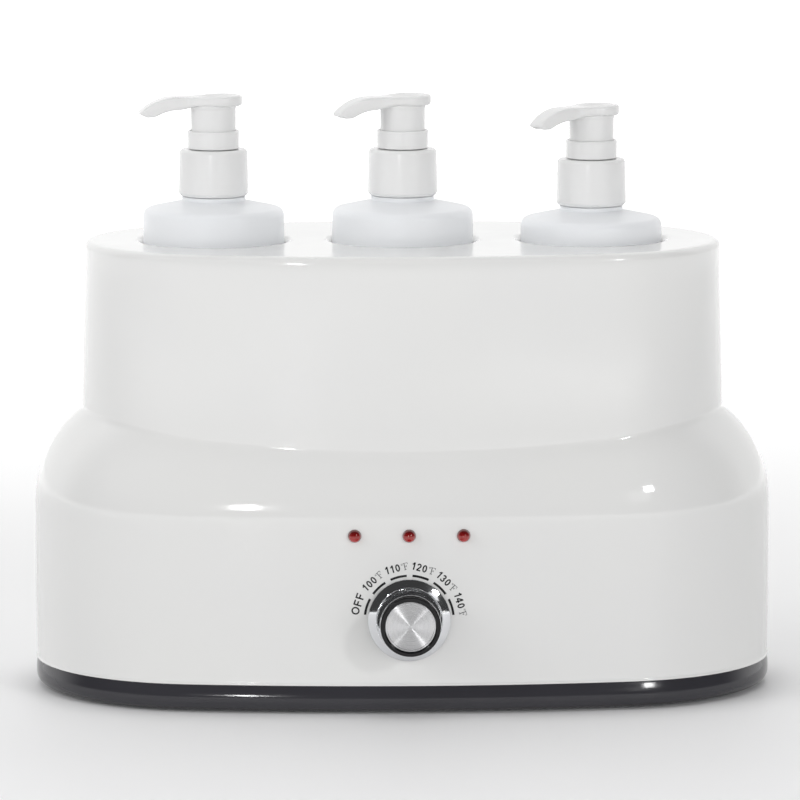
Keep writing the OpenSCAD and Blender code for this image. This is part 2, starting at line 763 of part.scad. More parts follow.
module knob_skirt() {
    nut_room = nut_r + 1;
    cone_top = skirt_edge_h + skirt_cone_h;
    color(alloy) to_front(0, knob_y, knob_z) difference() {
        rotate_extrude() difference() {
            polygon([[0, 0], [knob_d/2, 0], [knob_d/2, skirt_edge_h], [grip_foot_d/2, cone_top],
                [grip_d/2, ring_seat_h], [face_r, ring_seat_h], [face_r, face_seat_h], [0, face_seat_h]]);
            band(0, nut_room, -cut, knob_hub_h);
        }
        translate([0, 0, knob_hub_h - cut]) linear_extrude(face_seat_h - knob_hub_h - spindle_end_gap + cut)
            spindle_outline(running);
    }
}

module knob_ring() {
    edge = 0.5;
    in_r = knob_ring_d/2 - knob_ring_w;
    out_r = knob_ring_d/2;
    color(black) to_front(0, knob_y, knob_z) rotate_extrude() {
        band(in_r, out_r, ring_seat_h, knob_h - edge);
        band(in_r + edge, out_r - edge, ring_seat_h, knob_h);
        translate([out_r - edge, knob_h - edge]) slice(edge, 0, 90);
        translate([in_r + edge, knob_h - edge]) slice(edge, 90, 180);
    }
}

module knob_face() {
    rim = 0.3;
    color(alloy) to_front(0, knob_y, knob_z) rotate_extrude()
        polygon([[0, face_seat_h], [face_r, face_seat_h], [face_r, face_top_h - rim],
            [face_r - rim, face_top_h], [0, face_top_h]]);
}

// A lamp lens: a flanged body behind the wall and a dome in front of it
module lamp(i) {
    x = (i - 1)*lamp_pitch;
    body_len = board_y - front_y - sag(x);
    flange_h = body_len - wall - seat_gap;
    color([0.72, 0.05, 0.06]) to_front(x, board_y, lamp_z) rotate_extrude() {
        band(0, lamp_d/2, 0, body_len);
        band(0, lamp_flange_d/2, flange_h - lamp_flange_t, flange_h);
        translate([0, body_len]) slice(lamp_d/2, 0, 90);
    }
}

module lamp_board() {
    w = 2*board_post_x + board_post_d + 4;
    color([0.10, 0.38, 0.20]) difference() {
        translate([-w/2, board_y, lamp_z - board_h/2]) cube([w, board_t, board_h]);
        for (s = [-1, 1]) to_front(s*board_post_x, board_y + board_t + cut, lamp_z)
            cylinder(d = board_pin_d + 2*seat_gap, h = board_t + 2*cut);
    }
}

// A grommet that grips the rear wall between two flanges
module cord_gland() {
    groove = wall + 2*seat_gap;
    color(black) to_rear(0, body_d/2 - wall - seat_gap - gland_flange_t, gland_z) rotate_extrude() {
        band(gland_bore_d/2, gland_d/2, 0, gland_len);
        polygon([[gland_bore_d/2, 0], [gland_d/2 + 0.4, 0], [gland_flange_d/2 - 1, gland_flange_t],
            [gland_bore_d/2, gland_flange_t]]);
        band(gland_bore_d/2, gland_flange_d/2, gland_flange_t + groove, gland_len);
    }
}

// Bottles and pumps, each drawn from the bottle's foot up

// Section of a bottle's body at a depth t inside its skin
module bottle_section(t) {
    out_r = bottle_d/2 - t;
    foot_r = bottle_foot_r - t;
    edge_r = bottle_edge_r - t;
    edge_x = bottle_d/2 - bottle_edge_r;
    foot_x = bottle_d/2 - bottle_foot_r;
    edge_z = bottle_h - (edge_x - neck_r)*tan(bottle_slope) - bottle_edge_r/cos(bottle_slope);
    touch = [edge_x + edge_r*sin(bottle_slope), edge_z + edge_r*cos(bottle_slope)];
    root_z = touch[1] + touch[0]*tan(bottle_slope);
    band(0, foot_x, t, bottle_foot_r);
    translate([foot_x, bottle_foot_r]) slice(foot_r, 270, 360);
    band(0, out_r, bottle_foot_r, edge_z);
    translate([edge_x, edge_z]) slice(edge_r, 0, 90 - bottle_slope);
    polygon([[0, edge_z], [edge_x, edge_z], touch, [0, root_z]]);
}

module bottle() {
    bead_h = collar_foot - bottle_h - slip;
    color(frosted) rotate_extrude() difference() {
        union() {
            bottle_section(0);
            band(0, neck_r, bottle_h - 2, bottle_h + bead_h);
            band(0, finish_r, bottle_h, neck_top);
        }
        bottle_section(bottle_wall);
        band(0, neck_bore_r, bottle_h - 3, neck_top + cut);
    }
}

module pump_gasket() {
    color([0.80, 0.80, 0.80]) rotate_extrude() band(chamber_out_r + slip, finish_r, neck_top, flange_z);
}

module pump_collar() {
    top_r = (collar_d - collar_taper)/2;
    foot_in = 0.9;
    edge_x = top_r - collar_edge_r;
    edge_z = collar_top - collar_edge_r;
    bore_r = finish_r + slip;
    color(white) rotate_extrude() difference() {
        union() {
            polygon([[0, collar_foot], [collar_d/2 - foot_in, collar_foot],
                [collar_d/2, collar_foot + 1.4*foot_in], [top_r, edge_z], [edge_x, edge_z],
                [edge_x, collar_top], [0, collar_top]]);
            translate([edge_x, edge_z]) slice(collar_edge_r, 0, 90);
        }
        band(0, bore_r, collar_foot - cut, flange_top);
        band(0, guide_d/2 + slip, flange_top - cut, collar_top + cut);
    }
}

module lock_ring() {
    out_r = ring_d/2;
    color(white) rotate_extrude() difference() {
        polygon([[0, ring_foot], [out_r, ring_foot], [out_r, ring_top - ring_chamfer],
            [out_r - ring_chamfer, ring_top], [0, ring_top]]);
        band(0, guide_d/2 + running, ring_foot - cut, guide_top);
        band(0, stem_d/2 + running, guide_top - cut, ring_top + cut);
        band(0, actuator_d/2 + slip, web_top, ring_top + cut);
    }
}

module pump_body() {
    tube_r = tube_d/2 + running;
    socket_out_r = tube_r + chamber_wall;
    color(white) rotate_extrude() difference() {
        union() {
            polygon([[0, socket_foot], [socket_out_r, socket_foot], [socket_out_r, socket_top],
                [chamber_out_r, spring_z], [chamber_out_r, flange_z], [0, flange_z]]);
            band(0, finish_r, flange_z, flange_top);
            band(0, guide_d/2, flange_z, guide_top);
        }
        band(0, chamber_r, spring_z, guide_top + cut);
        band(0, ball_d/2 + 2*slip, seat_z, spring_z + cut);
        band(0, seat_r, socket_top - cut, seat_z + cut);
        band(0, tube_r, socket_foot - cut, socket_top);
    }
}

module dip_tube() {
    color(frosted) rotate_extrude() band(tube_d/2 - tube_wall, tube_d/2, tube_foot, socket_top);
}

module valve_ball() {
    rise = sqrt(ball_d*ball_d/4 - seat_r*seat_r) + running;
    color(steel) translate([0, 0, seat_z + rise]) sphere(d = ball_d);
}

// The stem and, at its foot, the piston with two sealing lips
module pump_stem() {
    piston_r = chamber_r - running;
    groove = 1.2;
    color(white) rotate_extrude() difference() {
        union() {
            band(0, stem_d/2, piston_z, stem_top);
            band(0, piston_r, piston_z, piston_z + piston_h);
        }
        band(0, stem_bore_d/2, piston_z - cut, stem_top + cut);
        translate([piston_r - groove, piston_z + piston_h/3]) square([groove + cut, piston_h/3]);
    }
}

// The spring: one tube wound along a helix
spring_sides = 6;
spring_rings = 8;
spring_r = chamber_r - slip - 0.6 - spring_wire/2;
spring_pitch = (spring_rest - spring_wire - 2*running)/spring_turns;
echo(spring_gap = spring_pitch - spring_wire);

function spring_point(k, j) =
    let (turn = 360*k/spring_rings, around = 360*j/spring_sides)
    let (r = spring_r + spring_wire/2*cos(around))
    [r*cos(turn), r*sin(turn), spring_pitch*k/spring_rings + spring_wire/2*sin(around)];

module pump_spring() {
    last = spring_turns*spring_rings;
    n = spring_sides;
    points = [for (k = [0:last]) for (j = [0:n - 1]) spring_point(k, j)];
    near = [for (k = [0:last - 1]) for (j = [0:n - 1])
        [k*n + j, k*n + (j + 1)%n, (k + 1)*n + j]];
    far = [for (k = [0:last - 1]) for (j = [0:n - 1])
        [k*n + (j + 1)%n, (k + 1)*n + (j + 1)%n, (k + 1)*n + j]];
    first_end = [for (j = [1:n - 2]) [0, j + 1, j]];
    last_end = [for (j = [1:n - 2]) [last*n, last*n + j, last*n + j + 1]];
    color(steel) translate([0, 0, spring_z + spring_wire/2 + running])
        polyhedron(points, concat(near, far, first_end, last_end));
}

// Side outline of the pad and spout: x along the spout, y is the height
module head_side() {
    translate([-spout_apex, head_top - spout_out_r]) difference() {
        slice(spout_out_r, 90, 90 + spout_angle);
        circle(spout_in_r);
    }
    difference() {
        translate([-spout_apex, head_foot]) square([spout_apex + pad_reach, spout_t]);
        translate([(pad_reach - 1)/2, head_top + dish_r - pad_dish]) circle(dish_r);
    }
}

// Plan outline of the pad and spout
module head_plan() {
    pad_r = pad_w/2;
    pad_x = pad_reach - pad_r;
    root_x = -actuator_d/2 - 2;
    translate([pad_x, 0]) circle(pad_r);
    polygon([[pad_x, pad_r], [root_x, spout_root_w/2], [-spout_reach - cut, spout_tip_w/2],
        [-spout_reach - cut, -spout_tip_w/2], [root_x, -spout_root_w/2], [pad_x, -pad_r]]);
}

module pump_head() {
    bore_z = head_top - spout_t/2;
    socket_r = stem_d/2 + 1.4;
    socket_z = skirt_foot + 3;
    cross_bore_d = spout_bore_d + 2*slip;
    color(white) difference() {
        union() {
            intersection() {
                rotate([90, 0, 0]) linear_extrude(2*pad_w, center = true) head_side();
                translate([0, 0, head_foot - spout_bend_r]) linear_extrude(2*spout_bend_r) head_plan();
            }
            rotate_extrude() {
                band(actuator_d/2 - actuator_wall, actuator_d/2, skirt_foot, head_foot);
                band(0, actuator_d/2, stem_top - 1, head_foot + spout_t/4);
                band(0, socket_r, socket_z, stem_top);
            }
        }
        translate([0, 0, skirt_foot]) cylinder(d = stem_d + 2*running, h = stem_top - skirt_foot + slip);
        translate([0, 0, stem_top]) cylinder(d = spout_bore_d, h = bore_z - stem_top);
        translate([spout_bore_d, 0, bore_z]) rotate([0, -90, 0])
            cylinder(d = cross_bore_d, h = spout_bore_d + spout_apex + cut);
        translate([-spout_apex, 0, head_top - spout_out_r]) rotate([90, 0, 0])
            rotate_extrude(angle = spout_angle + 2, start = 90)
                translate([spout_bend_r, 0]) circle(d = spout_bore_d);
    }
}

// Puts a bottle's piece in its well, turned about the well's axis
module in_well(i, yaw = 0) {
    translate([well_x(i), body_y, well_floor_z(i)]) rotate([0, 0, yaw]) children();
}

// Puts a piece of the housing in the frame
module placed() { translate([0, body_y, 0]) children(); }

placed() housing();
placed() base_tray();
placed() feet();
placed() base_screws();
placed() well_screws();
placed() thermostat();
placed() thermostat_nut();
placed() thermal_cutoff();
placed() terminal_block();
placed() lamp_board();
placed() cord_gland();
placed() knob_skirt();
placed() knob_ring();
placed() knob_face();
placed() thermostat_shaft();
for (i = [0:2]) {
    placed() well(i);
    placed() heater(i);
    placed() lamp(i);
    in_well(i) bottle();
    in_well(i) pump_collar();
    in_well(i) lock_ring();
    in_well(i) pump_body();
    in_well(i) pump_gasket();
    in_well(i) dip_tube();
    in_well(i) valve_ball();
    in_well(i) pump_spring();
    in_well(i) pump_stem();
    in_well(i, yaws[i]) pump_head();
}
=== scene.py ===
import bpy
import bmesh
import json
from math import acos, atan2, ceil, copysign, cos, degrees, exp, hypot, log, pi, radians, sin, sqrt, tan
from mathutils import Matrix, Vector


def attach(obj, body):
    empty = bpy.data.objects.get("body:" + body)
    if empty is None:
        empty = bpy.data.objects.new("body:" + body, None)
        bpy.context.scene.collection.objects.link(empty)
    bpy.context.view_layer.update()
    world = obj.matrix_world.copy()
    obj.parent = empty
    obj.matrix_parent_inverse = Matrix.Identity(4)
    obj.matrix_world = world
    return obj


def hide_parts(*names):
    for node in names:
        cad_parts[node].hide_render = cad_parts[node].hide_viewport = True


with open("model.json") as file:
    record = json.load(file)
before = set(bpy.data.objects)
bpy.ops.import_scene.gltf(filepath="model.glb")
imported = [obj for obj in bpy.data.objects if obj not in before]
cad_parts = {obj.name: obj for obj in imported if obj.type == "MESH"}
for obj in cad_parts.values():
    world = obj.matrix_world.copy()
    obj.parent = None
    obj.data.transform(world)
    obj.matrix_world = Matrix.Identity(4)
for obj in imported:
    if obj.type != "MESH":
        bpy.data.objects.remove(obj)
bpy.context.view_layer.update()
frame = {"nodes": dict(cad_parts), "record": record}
nodes = frame["nodes"]
scene = bpy.context.scene
mm = 0.001
sides = ("left", "centre", "right")
print("frame loaded:", len(nodes), "nodes")

# Where things stand, in millimetres, as in the part's source
place = {
    "bodyY": 7.45,                                               # middle of the plan, front to back
    "frontY": -72.55,                                            # middle of the lower front wall
    "bottleX": {"left": -79.3, "centre": 0.0, "right": 79.3},
    "bottleFoot": {"left": 94.1, "centre": 94.1, "right": 89.6},
    "spoutYaw": {"left": 8.0, "centre": 26.0, "right": 37.0},    # spout turned towards the front
    "knobZ": 39.8, "lampZ": 74.6, "lampPitch": 22.4, "glandZ": 32.0,
}


# Shader node helpers
def feed(tree, socket, given):   # a fixed value or a link
    if isinstance(given, (int, float, tuple)):
        socket.default_value = given
    else:
        tree.links.new(given, socket)


def plug(tree, node, given):   # by socket name
    for label, value in given.items():
        feed(tree, node.inputs[label], value)


def objectPoint(tree):
    return tree.nodes.new("ShaderNodeTexCoord").outputs["Object"]


def addSplit(tree, vector):
    split = tree.nodes.new("ShaderNodeSeparateXYZ")
    tree.links.new(vector, split.inputs[0])
    return split.outputs


def addNoise(tree, vector, scale, detail, rough=0.5):
    noise = tree.nodes.new("ShaderNodeTexNoise")
    plug(tree, noise, {"Vector": vector, "Scale": scale, "Detail": detail, "Roughness": rough})
    return noise.outputs["Fac"]


def addRange(tree, value, low, high, outLow=0.0, outHigh=1.0, eased=False):
    node = tree.nodes.new("ShaderNodeMapRange")
    if eased:
        node.interpolation_type = "SMOOTHSTEP"
    plug(tree, node, {"Value": value, "From Min": low, "From Max": high, "To Min": outLow, "To Max": outHigh})
    return node.outputs[0]


def addMath(tree, kind, a, b):
    node = tree.nodes.new("ShaderNodeMath")
    node.operation = kind
    feed(tree, node.inputs[0], a)
    feed(tree, node.inputs[1], b)
    return node.outputs[0]


def addVector(tree, kind, a, b=(0, 0, 0)):
    node = tree.nodes.new("ShaderNodeVectorMath")
    node.operation = kind
    feed(tree, node.inputs[0], a)
    feed(tree, node.inputs[1], b)
    return node.outputs["Value"] if kind == "LENGTH" else node.outputs[0]


def addMix(tree, factor, a, b, kind="RGBA"):
    node = tree.nodes.new("ShaderNodeMix")
    node.data_type = kind
    plug(tree, node, {"Factor": factor, "A": a, "B": b})
    return node.outputs["Result"]


def addBump(tree, shader, height, strength, depth):
    bump = tree.nodes.new("ShaderNodeBump")
    plug(tree, bump, {"Strength": strength, "Distance": depth, "Height": height})
    plug(tree, shader, {"Normal": bump.outputs[0]})


def startMaterial(name, **fixed):
    mat = bpy.data.materials.new(name)
    mat.use_nodes = True
    tree = mat.node_tree
    shader = tree.nodes["Principled BSDF"]
    plug(tree, shader, fixed)
    return mat, tree, shader


cameraSet = {
    "azimuth": -1.93, "elevation": 8.0, "distance": 2.70,
    "target": (-0.0011, 0.00745, 0.1198),
    "focalPixels": 6400.0, "sensor": 36.0, "imagePixels": 800,
}


def outward(azimuth, height):   # direction from the part, by azimuth from the front and height angle
    a, e = radians(azimuth), radians(height)
    return Vector((sin(a)*cos(e), -cos(a)*cos(e), sin(e)))


def addFacing(name, data, spot, out):   # camera or light that looks back along out
    thing = bpy.data.objects.new(name, data)
    thing.location = spot
    thing.rotation_mode = "QUATERNION"
    thing.rotation_quaternion = (-out).to_track_quat("-Z", "Y")
    scene.collection.objects.link(thing)
    return thing


def makeCamera():
    s = cameraSet
    back = outward(s["azimuth"], s["elevation"])
    data = bpy.data.cameras.new("studioCamera")
    data.sensor_width = s["sensor"]
    data.lens = s["sensor"]*s["focalPixels"]/s["imagePixels"]
    data.clip_start, data.clip_end = 0.1, 60
    scene.camera = addFacing("studioCamera", data, Vector(s["target"]) + back*s["distance"], back)


# Studio lights: azimuth from the front, height angle, distance, width, height, power, seen in reflections
lightSet = {
    "front": 0.05, "aim": (0, 0, 0.09),
    "blends": (("Z", 0.36, 0.66, 0.05), ("Y", 0.0, 0.55, 1.12), ("Z", 0.0, -0.06, 0.72)),   # roof, back, ground
    "boxes": {
        "flashLeft": (-13.5, 8.6, 2.2, 0.07, 0.16, 2.6, True),
        "flashRight": (36, 21, 2.0, 0.21, 0.18, 4.7, True),
        "haloRight": (30, 15, 1.7, 0.34, 0.30, 0.3, True),
        "frontLeft": (-38, 14, 1.6, 1.2, 0.9, 3.6, False),
        "frontRight": (34, 8, 1.6, 1.2, 0.6, 6.2, False),
        "sideLeft": (-70, 26, 1.8, 0.9, 1.1, 9.8, False),
        "topBox": (0, 78, 1.5, 1.6, 1.0, 7.3, False),
    },
}


def makeWorld():   # white room, bright behind the part, with a dark ceiling over the front
    world = bpy.data.worlds.new("studioWorld")
    scene.world = world
    world.use_nodes = True
    tree = world.node_tree
    split = addSplit(tree, tree.nodes.new("ShaderNodeTexCoord").outputs["Generated"])
    value = lightSet["front"]
    for axis, low, high, strength in lightSet["blends"]:
        value = addMix(tree, addRange(tree, split[axis], low, high, eased=True), value, strength, "FLOAT")
    plug(tree, tree.nodes["Background"], {"Strength": value, "Color": (1.0, 1.0, 1.0, 1)})


def makeLights():
    for name, (azimuth, height, far, wide, tall, power, seen) in lightSet["boxes"].items():
        out = outward(azimuth, height)
        data = bpy.data.lights.new(name, "AREA")
        data.shape = "RECTANGLE"
        data.size, data.size_y = wide, tall
        data.energy = power
        addFacing(name, data, Vector(lightSet["aim"]) + out*far, out).visible_glossy = seen


floorSet = {"half": 14.0, "rough": 0.55, "near": (0.89, 0.89, 0.895, 1), "far": (0.97, 0.97, 0.97, 1),
            "glow": (0.8, 0.8, 0.8, 1), "fadeFrom": -0.2, "fadeTo": 1.8, "farFrom": 0.9, "farTo": 2.7}


def makeFloor():   # paler behind the part, and far from it on every side, with a painted glow there standing in for studio light
    s = floorSet
    h = s["half"]
    mesh = bpy.data.meshes.new("studioFloor")
    mesh.from_pydata([(-h, -h, 0), (h, -h, 0), (h, h, 0), (-h, h, 0)], [], [(0, 1, 2, 3)])
    floor = bpy.data.objects.new("studioFloor", mesh)
    scene.collection.objects.link(floor)
    floor.visible_diffuse = False   # the world's ground gives the bounce, without the contact shadow in it
    mat, tree, shader = startMaterial("paleFloor", Roughness=s["rough"], **{"Emission Strength": 1.0})
    where = objectPoint(tree)
    behind = addRange(tree, addSplit(tree, where)["Y"], s["fadeFrom"], s["fadeTo"], eased=True)
    away = addRange(tree, addVector(tree, "LENGTH", where), s["farFrom"], s["farTo"], eased=True)
    fade = addMath(tree, "MAXIMUM", behind, away)
    # painted light: the far floor is paler and glows
    plug(tree, shader, {"Base Color": addMix(tree, fade, s["near"], s["far"]),
                        "Emission Color": addMix(tree, fade, (0, 0, 0, 1), s["glow"])})
    mesh.materials.append(mat)


scene.view_settings.view_transform = "Standard"
makeCamera()
makeWorld()
makeLights()
makeFloor()
print("studio ready")


# Shared shader effects, each built once
def newGroup(name, inputs, outputs):
    tree = bpy.data.node_groups.new(name, "ShaderNodeTree")
    for label, kind, value in inputs:
        socket = tree.interface.new_socket(label, in_out="INPUT", socket_type="NodeSocket" + kind)
        socket.default_value = value
    for label, kind in outputs:
        tree.interface.new_socket(label, in_out="OUTPUT", socket_type="NodeSocket" + kind)
    return tree, tree.nodes.new("NodeGroupInput").outputs, tree.nodes.new("NodeGroupOutput")


skinInputs = [("Colour A", "Color", (0.8, 0.8, 0.8, 1)), ("Colour B", "Color", (0.7, 0.7, 0.7, 1)),
              ("Smooth", "Float", 0.1), ("Rough", "Float", 0.2)]
skinOutputs = [("Colour", "Color"), ("Roughness", "Float"), ("Height", "Float")]


def makeMouldSkin():   # moulded plastic: slow colour drift, handling marks, fine skin
    tree, given, made = newGroup("mouldSkin", skinInputs + [
        ("Drift Scale", "Float", 14.0), ("Skin Scale", "Float", 900.0)], skinOutputs)
    where = objectPoint(tree)
    drift = addNoise(tree, where, given["Drift Scale"], 3)
    smudge = addNoise(tree, where, 55.0, 4, 0.6)
    marks = addMath(tree, "MULTIPLY", addRange(tree, smudge, 0.45, 0.72), addRange(tree, drift, 0.3, 0.7, 0.3, 1.0))
    plug(tree, made, {
        "Colour": addMix(tree, addRange(tree, drift, 0.35, 0.65), given["Colour A"], given["Colour B"]),
        "Roughness": addRange(tree, marks, 0.0, 1.0, given["Smooth"], given["Rough"]),
        "Height": addNoise(tree, where, given["Skin Scale"], 2)})
    return tree


def makeDustFall():   # dust that settles on faces that look up
    tree, given, made = newGroup("dustFall", [
        ("Colour", "Color", (0.8, 0.8, 0.8, 1)), ("Dust", "Color", (0.62, 0.61, 0.58, 1)),
        ("Roughness", "Float", 0.2), ("Amount", "Float", 0.2)], skinOutputs[:2])
    normal = addSplit(tree, tree.nodes.new("ShaderNodeNewGeometry").outputs["Normal"])
    where = objectPoint(tree)
    speck = addRange(tree, addNoise(tree, where, 1400.0, 3, 0.7), 0.5, 0.8)
    patch = addRange(tree, addNoise(tree, where, 26.0, 3), 0.35, 0.7, 0.2, 1.0)
    mask = addMath(tree, "MULTIPLY", addMath(tree, "MULTIPLY", speck, patch),
                   addMath(tree, "MULTIPLY", addRange(tree, normal["Z"], 0.75, 1.0), given["Amount"]))
    plug(tree, made, {
        "Colour": addMix(tree, mask, given["Colour"], given["Dust"]),
        "Roughness": addMath(tree, "ADD", given["Roughness"], addMath(tree, "MULTIPLY", mask, 0.5))})
    return tree


def makeDrawnLines():   # drawn, turned or brushed metal: fine lines across one direction
    tree, given, made = newGroup("drawnLines", skinInputs + [("Stretch", "Vector", (1.0, 1.0, 60.0))], skinOutputs)
    where = objectPoint(tree)
    lines = addNoise(tree, addVector(tree, "MULTIPLY", where, given["Stretch"]), 40.0, 5, 0.65)
    stain = addRange(tree, addNoise(tree, where, 45.0, 3), 0.35, 0.68)
    plug(tree, made, {
        "Colour": addMix(tree, stain, given["Colour A"], given["Colour B"]),
        "Roughness": addRange(tree, lines, 0.3, 0.7, given["Smooth"], given["Rough"]),
        "Height": lines})
    return tree


groups = {"mould": makeMouldSkin(), "dust": makeDustFall(), "lines": makeDrawnLines()}
skinDepth = {"mould": 0.00006, "lines": 0.00005}   # metres, at full bump


def placeGroup(tree, key, given):
    node = tree.nodes.new("ShaderNodeGroup")
    node.node_tree = groups[key]
    plug(tree, node, given)
    return node.outputs


def skinned(name, key, look, own, bump, dust=0.0, **fixed):
    mat, tree, shader = startMaterial(name, **fixed)
    colourA, colourB, smooth, rough = look
    film = skin = placeGroup(tree, key, {"Colour A": colourA + (1,), "Colour B": colourB + (1,), "Smooth": smooth,
                                         "Rough": rough, **own})
    if dust:
        film = placeGroup(tree, "dust", {"Colour": skin["Colour"], "Roughness": skin["Roughness"], "Amount": dust})
    plug(tree, shader, {"Base Color": film["Colour"], "Roughness": film["Roughness"]})
    addBump(tree, shader, skin["Height"], bump, skinDepth[key])
    return mat


def moulded(name, *look, skin, bump, drift=14.0, dust=0.0, **fixed):
    return skinned(name, "mould", look, {"Drift Scale": drift, "Skin Scale": skin}, bump, dust, **fixed)


def drawnMetal(name, *look, stretch, bump=0.25):
    return skinned(name, "lines", look, {"Stretch": stretch}, bump, Metallic=1.0)


def milky(weight, scale):   # light that sinks into a natural plastic
    return {"Subsurface Weight": weight, "Subsurface Radius": (1.0, 1.0, 1.0), "Subsurface Scale": scale}


finishes = {
    "housing": moulded("glossWhite", (0.80, 0.80, 0.79), (0.79, 0.79, 0.785), 0.07, 0.13, skin=420.0, bump=0.05,
                       dust=0.05, **{"Coat Weight": 0.3, "Coat Roughness": 0.04, "Specular IOR Level": 0.5}),
    "base": moulded("charcoalBase", (0.040, 0.039, 0.046), (0.035, 0.034, 0.040), 0.10, 0.18, skin=1500.0, bump=0.08,
                    dust=0.12),
    "foot": moulded("blackRubber", (0.018, 0.018, 0.019), (0.026, 0.026, 0.026), 0.62, 0.8, skin=2200.0, bump=0.35,
                    dust=0.2),
    "fastener": drawnMetal("platedSteel", (0.62, 0.63, 0.66), (0.50, 0.51, 0.53), 0.18, 0.34,
                           stretch=(1.0, 1.0, 40.0)),
    "ceramic": moulded("paleInsulator", (0.74, 0.70, 0.61), (0.68, 0.64, 0.55), 0.42, 0.6, skin=1800.0, bump=0.3),
    "dark_plastic": moulded("blackPhenolic", (0.035, 0.034, 0.034), (0.05, 0.048, 0.046), 0.3, 0.5, skin=1700.0,
                            bump=0.25),
    "board": moulded("greenLaminate", (0.025, 0.15, 0.055), (0.03, 0.12, 0.05), 0.25, 0.4, drift=70.0, skin=1500.0,
                     bump=0.3),
    "well": drawnMetal("drawnAlloy", (0.80, 0.81, 0.82), (0.70, 0.71, 0.73), 0.24, 0.44, stretch=(0.6, 0.6, 70.0)),
    "heater": moulded("siliconeMat", (0.40, 0.11, 0.05), (0.34, 0.09, 0.04), 0.5, 0.68, drift=60.0, skin=1900.0,
                      bump=0.4),
    "bottle": moulded("naturalResin", (0.85, 0.865, 0.885), (0.838, 0.853, 0.875), 0.30, 0.31, skin=700.0,
                      bump=0.05, **milky(0.3, 0.0015)),
    "pump_white": moulded("pumpWhite", (0.80, 0.80, 0.80), (0.788, 0.788, 0.786), 0.18, 0.21, drift=40.0, skin=1200.0,
                          bump=0.08, **milky(0.12, 0.0015)),
    "pump_inner": moulded("naturalMoulding", (0.80, 0.81, 0.82), (0.76, 0.77, 0.78), 0.3, 0.45, drift=50.0,
                          skin=1500.0, bump=0.15, **milky(0.2, 0.002)),
    "gasket": moulded("softSeal", (0.55, 0.55, 0.55), (0.5, 0.5, 0.5), 0.6, 0.75, drift=80.0, skin=2000.0, bump=0.3),
    "knob_chrome": drawnMetal("brightChrome", (0.82, 0.83, 0.85), (0.76, 0.77, 0.79), 0.04, 0.12,
                              stretch=(9.0, 9.0, 9.0), bump=0.04),
    "knob_black": moulded("blackGloss", (0.008, 0.008, 0.009), (0.012, 0.012, 0.013), 0.10, 0.22, drift=60.0,
                          skin=1600.0, bump=0.08, **{"Specular IOR Level": 0.35}),
}


def makeSpunDisc(axisX, axisZ):   # lathe-cut rings round the knob's axis, which throw bright rays
    mat, tree, shader = startMaterial("spunAlloy", Metallic=1.0, Anisotropic=1.0, **{"Anisotropic Rotation": 0.25})
    fromAxis = addVector(tree, "SUBTRACT", objectPoint(tree), (axisX, 0, axisZ))
    radius = addVector(tree, "LENGTH", addVector(tree, "MULTIPLY", fromAxis, (1, 0, 1)))
    rings = tree.nodes.new("ShaderNodeTexNoise")
    rings.noise_dimensions = "1D"
    plug(tree, rings, {"W": radius, "Scale": 5200.0, "Detail": 3})
    lines = rings.outputs["Fac"]
    tangent = tree.nodes.new("ShaderNodeTangent")
    tangent.direction_type = "RADIAL"
    tangent.axis = "Y"
    plug(tree, shader, {
        "Base Color": addMix(tree, addRange(tree, lines, 0.3, 0.7), (0.86, 0.86, 0.87, 1), (0.70, 0.70, 0.71, 1)),
        "Roughness": addRange(tree, lines, 0.3, 0.7, 0.22, 0.30), "Tangent": tangent.outputs[0]})
    addBump(tree, shader, lines, 0.12, 0.00002)
    return mat


# The lens colour runs from a lit red at its foot to a shaded red at its top: painted light and shade
lensSet = {"foot": 72.0, "top": 76.6, "pale": (0.56, 0.005, 0.005, 1), "deep": (0.10, 0.001, 0.002, 1)}


def makeLens():   # red lens, painted lighter towards its foot and darker towards its top: painted light and shade
    s = lensSet
    mat, tree, shader = startMaterial("redLens", **{
        "Specular IOR Level": 0.8, "Specular Tint": (1.0, 0.3, 0.25, 1), "Coat Weight": 1.0, "Coat IOR": 1.75,
        "Coat Roughness": 0.12})
    where = objectPoint(tree)
    haze = addNoise(tree, where, 900.0, 3)
    # painted light and shade: lower part of the lens lighter, upper part darker, plus random haze
    depth = addMath(tree, "ADD", addRange(tree, addSplit(tree, where)["Z"], s["foot"]*mm, s["top"]*mm, 0.0, 0.9),
                    addMath(tree, "MULTIPLY", haze, 0.2))
    plug(tree, shader, {"Base Color": addMix(tree, depth, s["pale"], s["deep"]),
                        "Roughness": addRange(tree, haze, 0.3, 0.7, 0.12, 0.18)})
    addBump(tree, shader, haze, 0.04, 0.00003)
    return mat


def makeInk(name, colour):   # screen-printed ink with a slightly uneven film
    return moulded(name, colour, tuple(c*1.6 + 0.004 for c in colour), 0.4, 0.55, drift=300.0, skin=3000.0, bump=0.2,
                   **{"Specular IOR Level": 0.2})


finishes["knob_spun"] = makeSpunDisc(0.0, place["knobZ"]*mm)
finishes["lamp"] = makeLens()
finishes["ink"] = makeInk("blackInk", (0.012, 0.012, 0.013))
finishes["inkGrey"] = makeInk("greyInk", (0.07, 0.07, 0.073))
finishes["indexPaint"] = makeInk("whiteIndex", (0.75, 0.75, 0.74))
print("materials ready:", len(finishes))

slotOf = {part["node"]: part["material_slot"] for part in frame["record"]["subparts"]}
for nodeName, node in nodes.items():
    node.data.materials.clear()
    node.data.materials.append(finishes[slotOf[nodeName]])


# Mesh helpers
def shade(mesh, sharp):
    mesh.shade_smooth()
    mesh.set_sharp_from_angle(angle=radians(sharp))


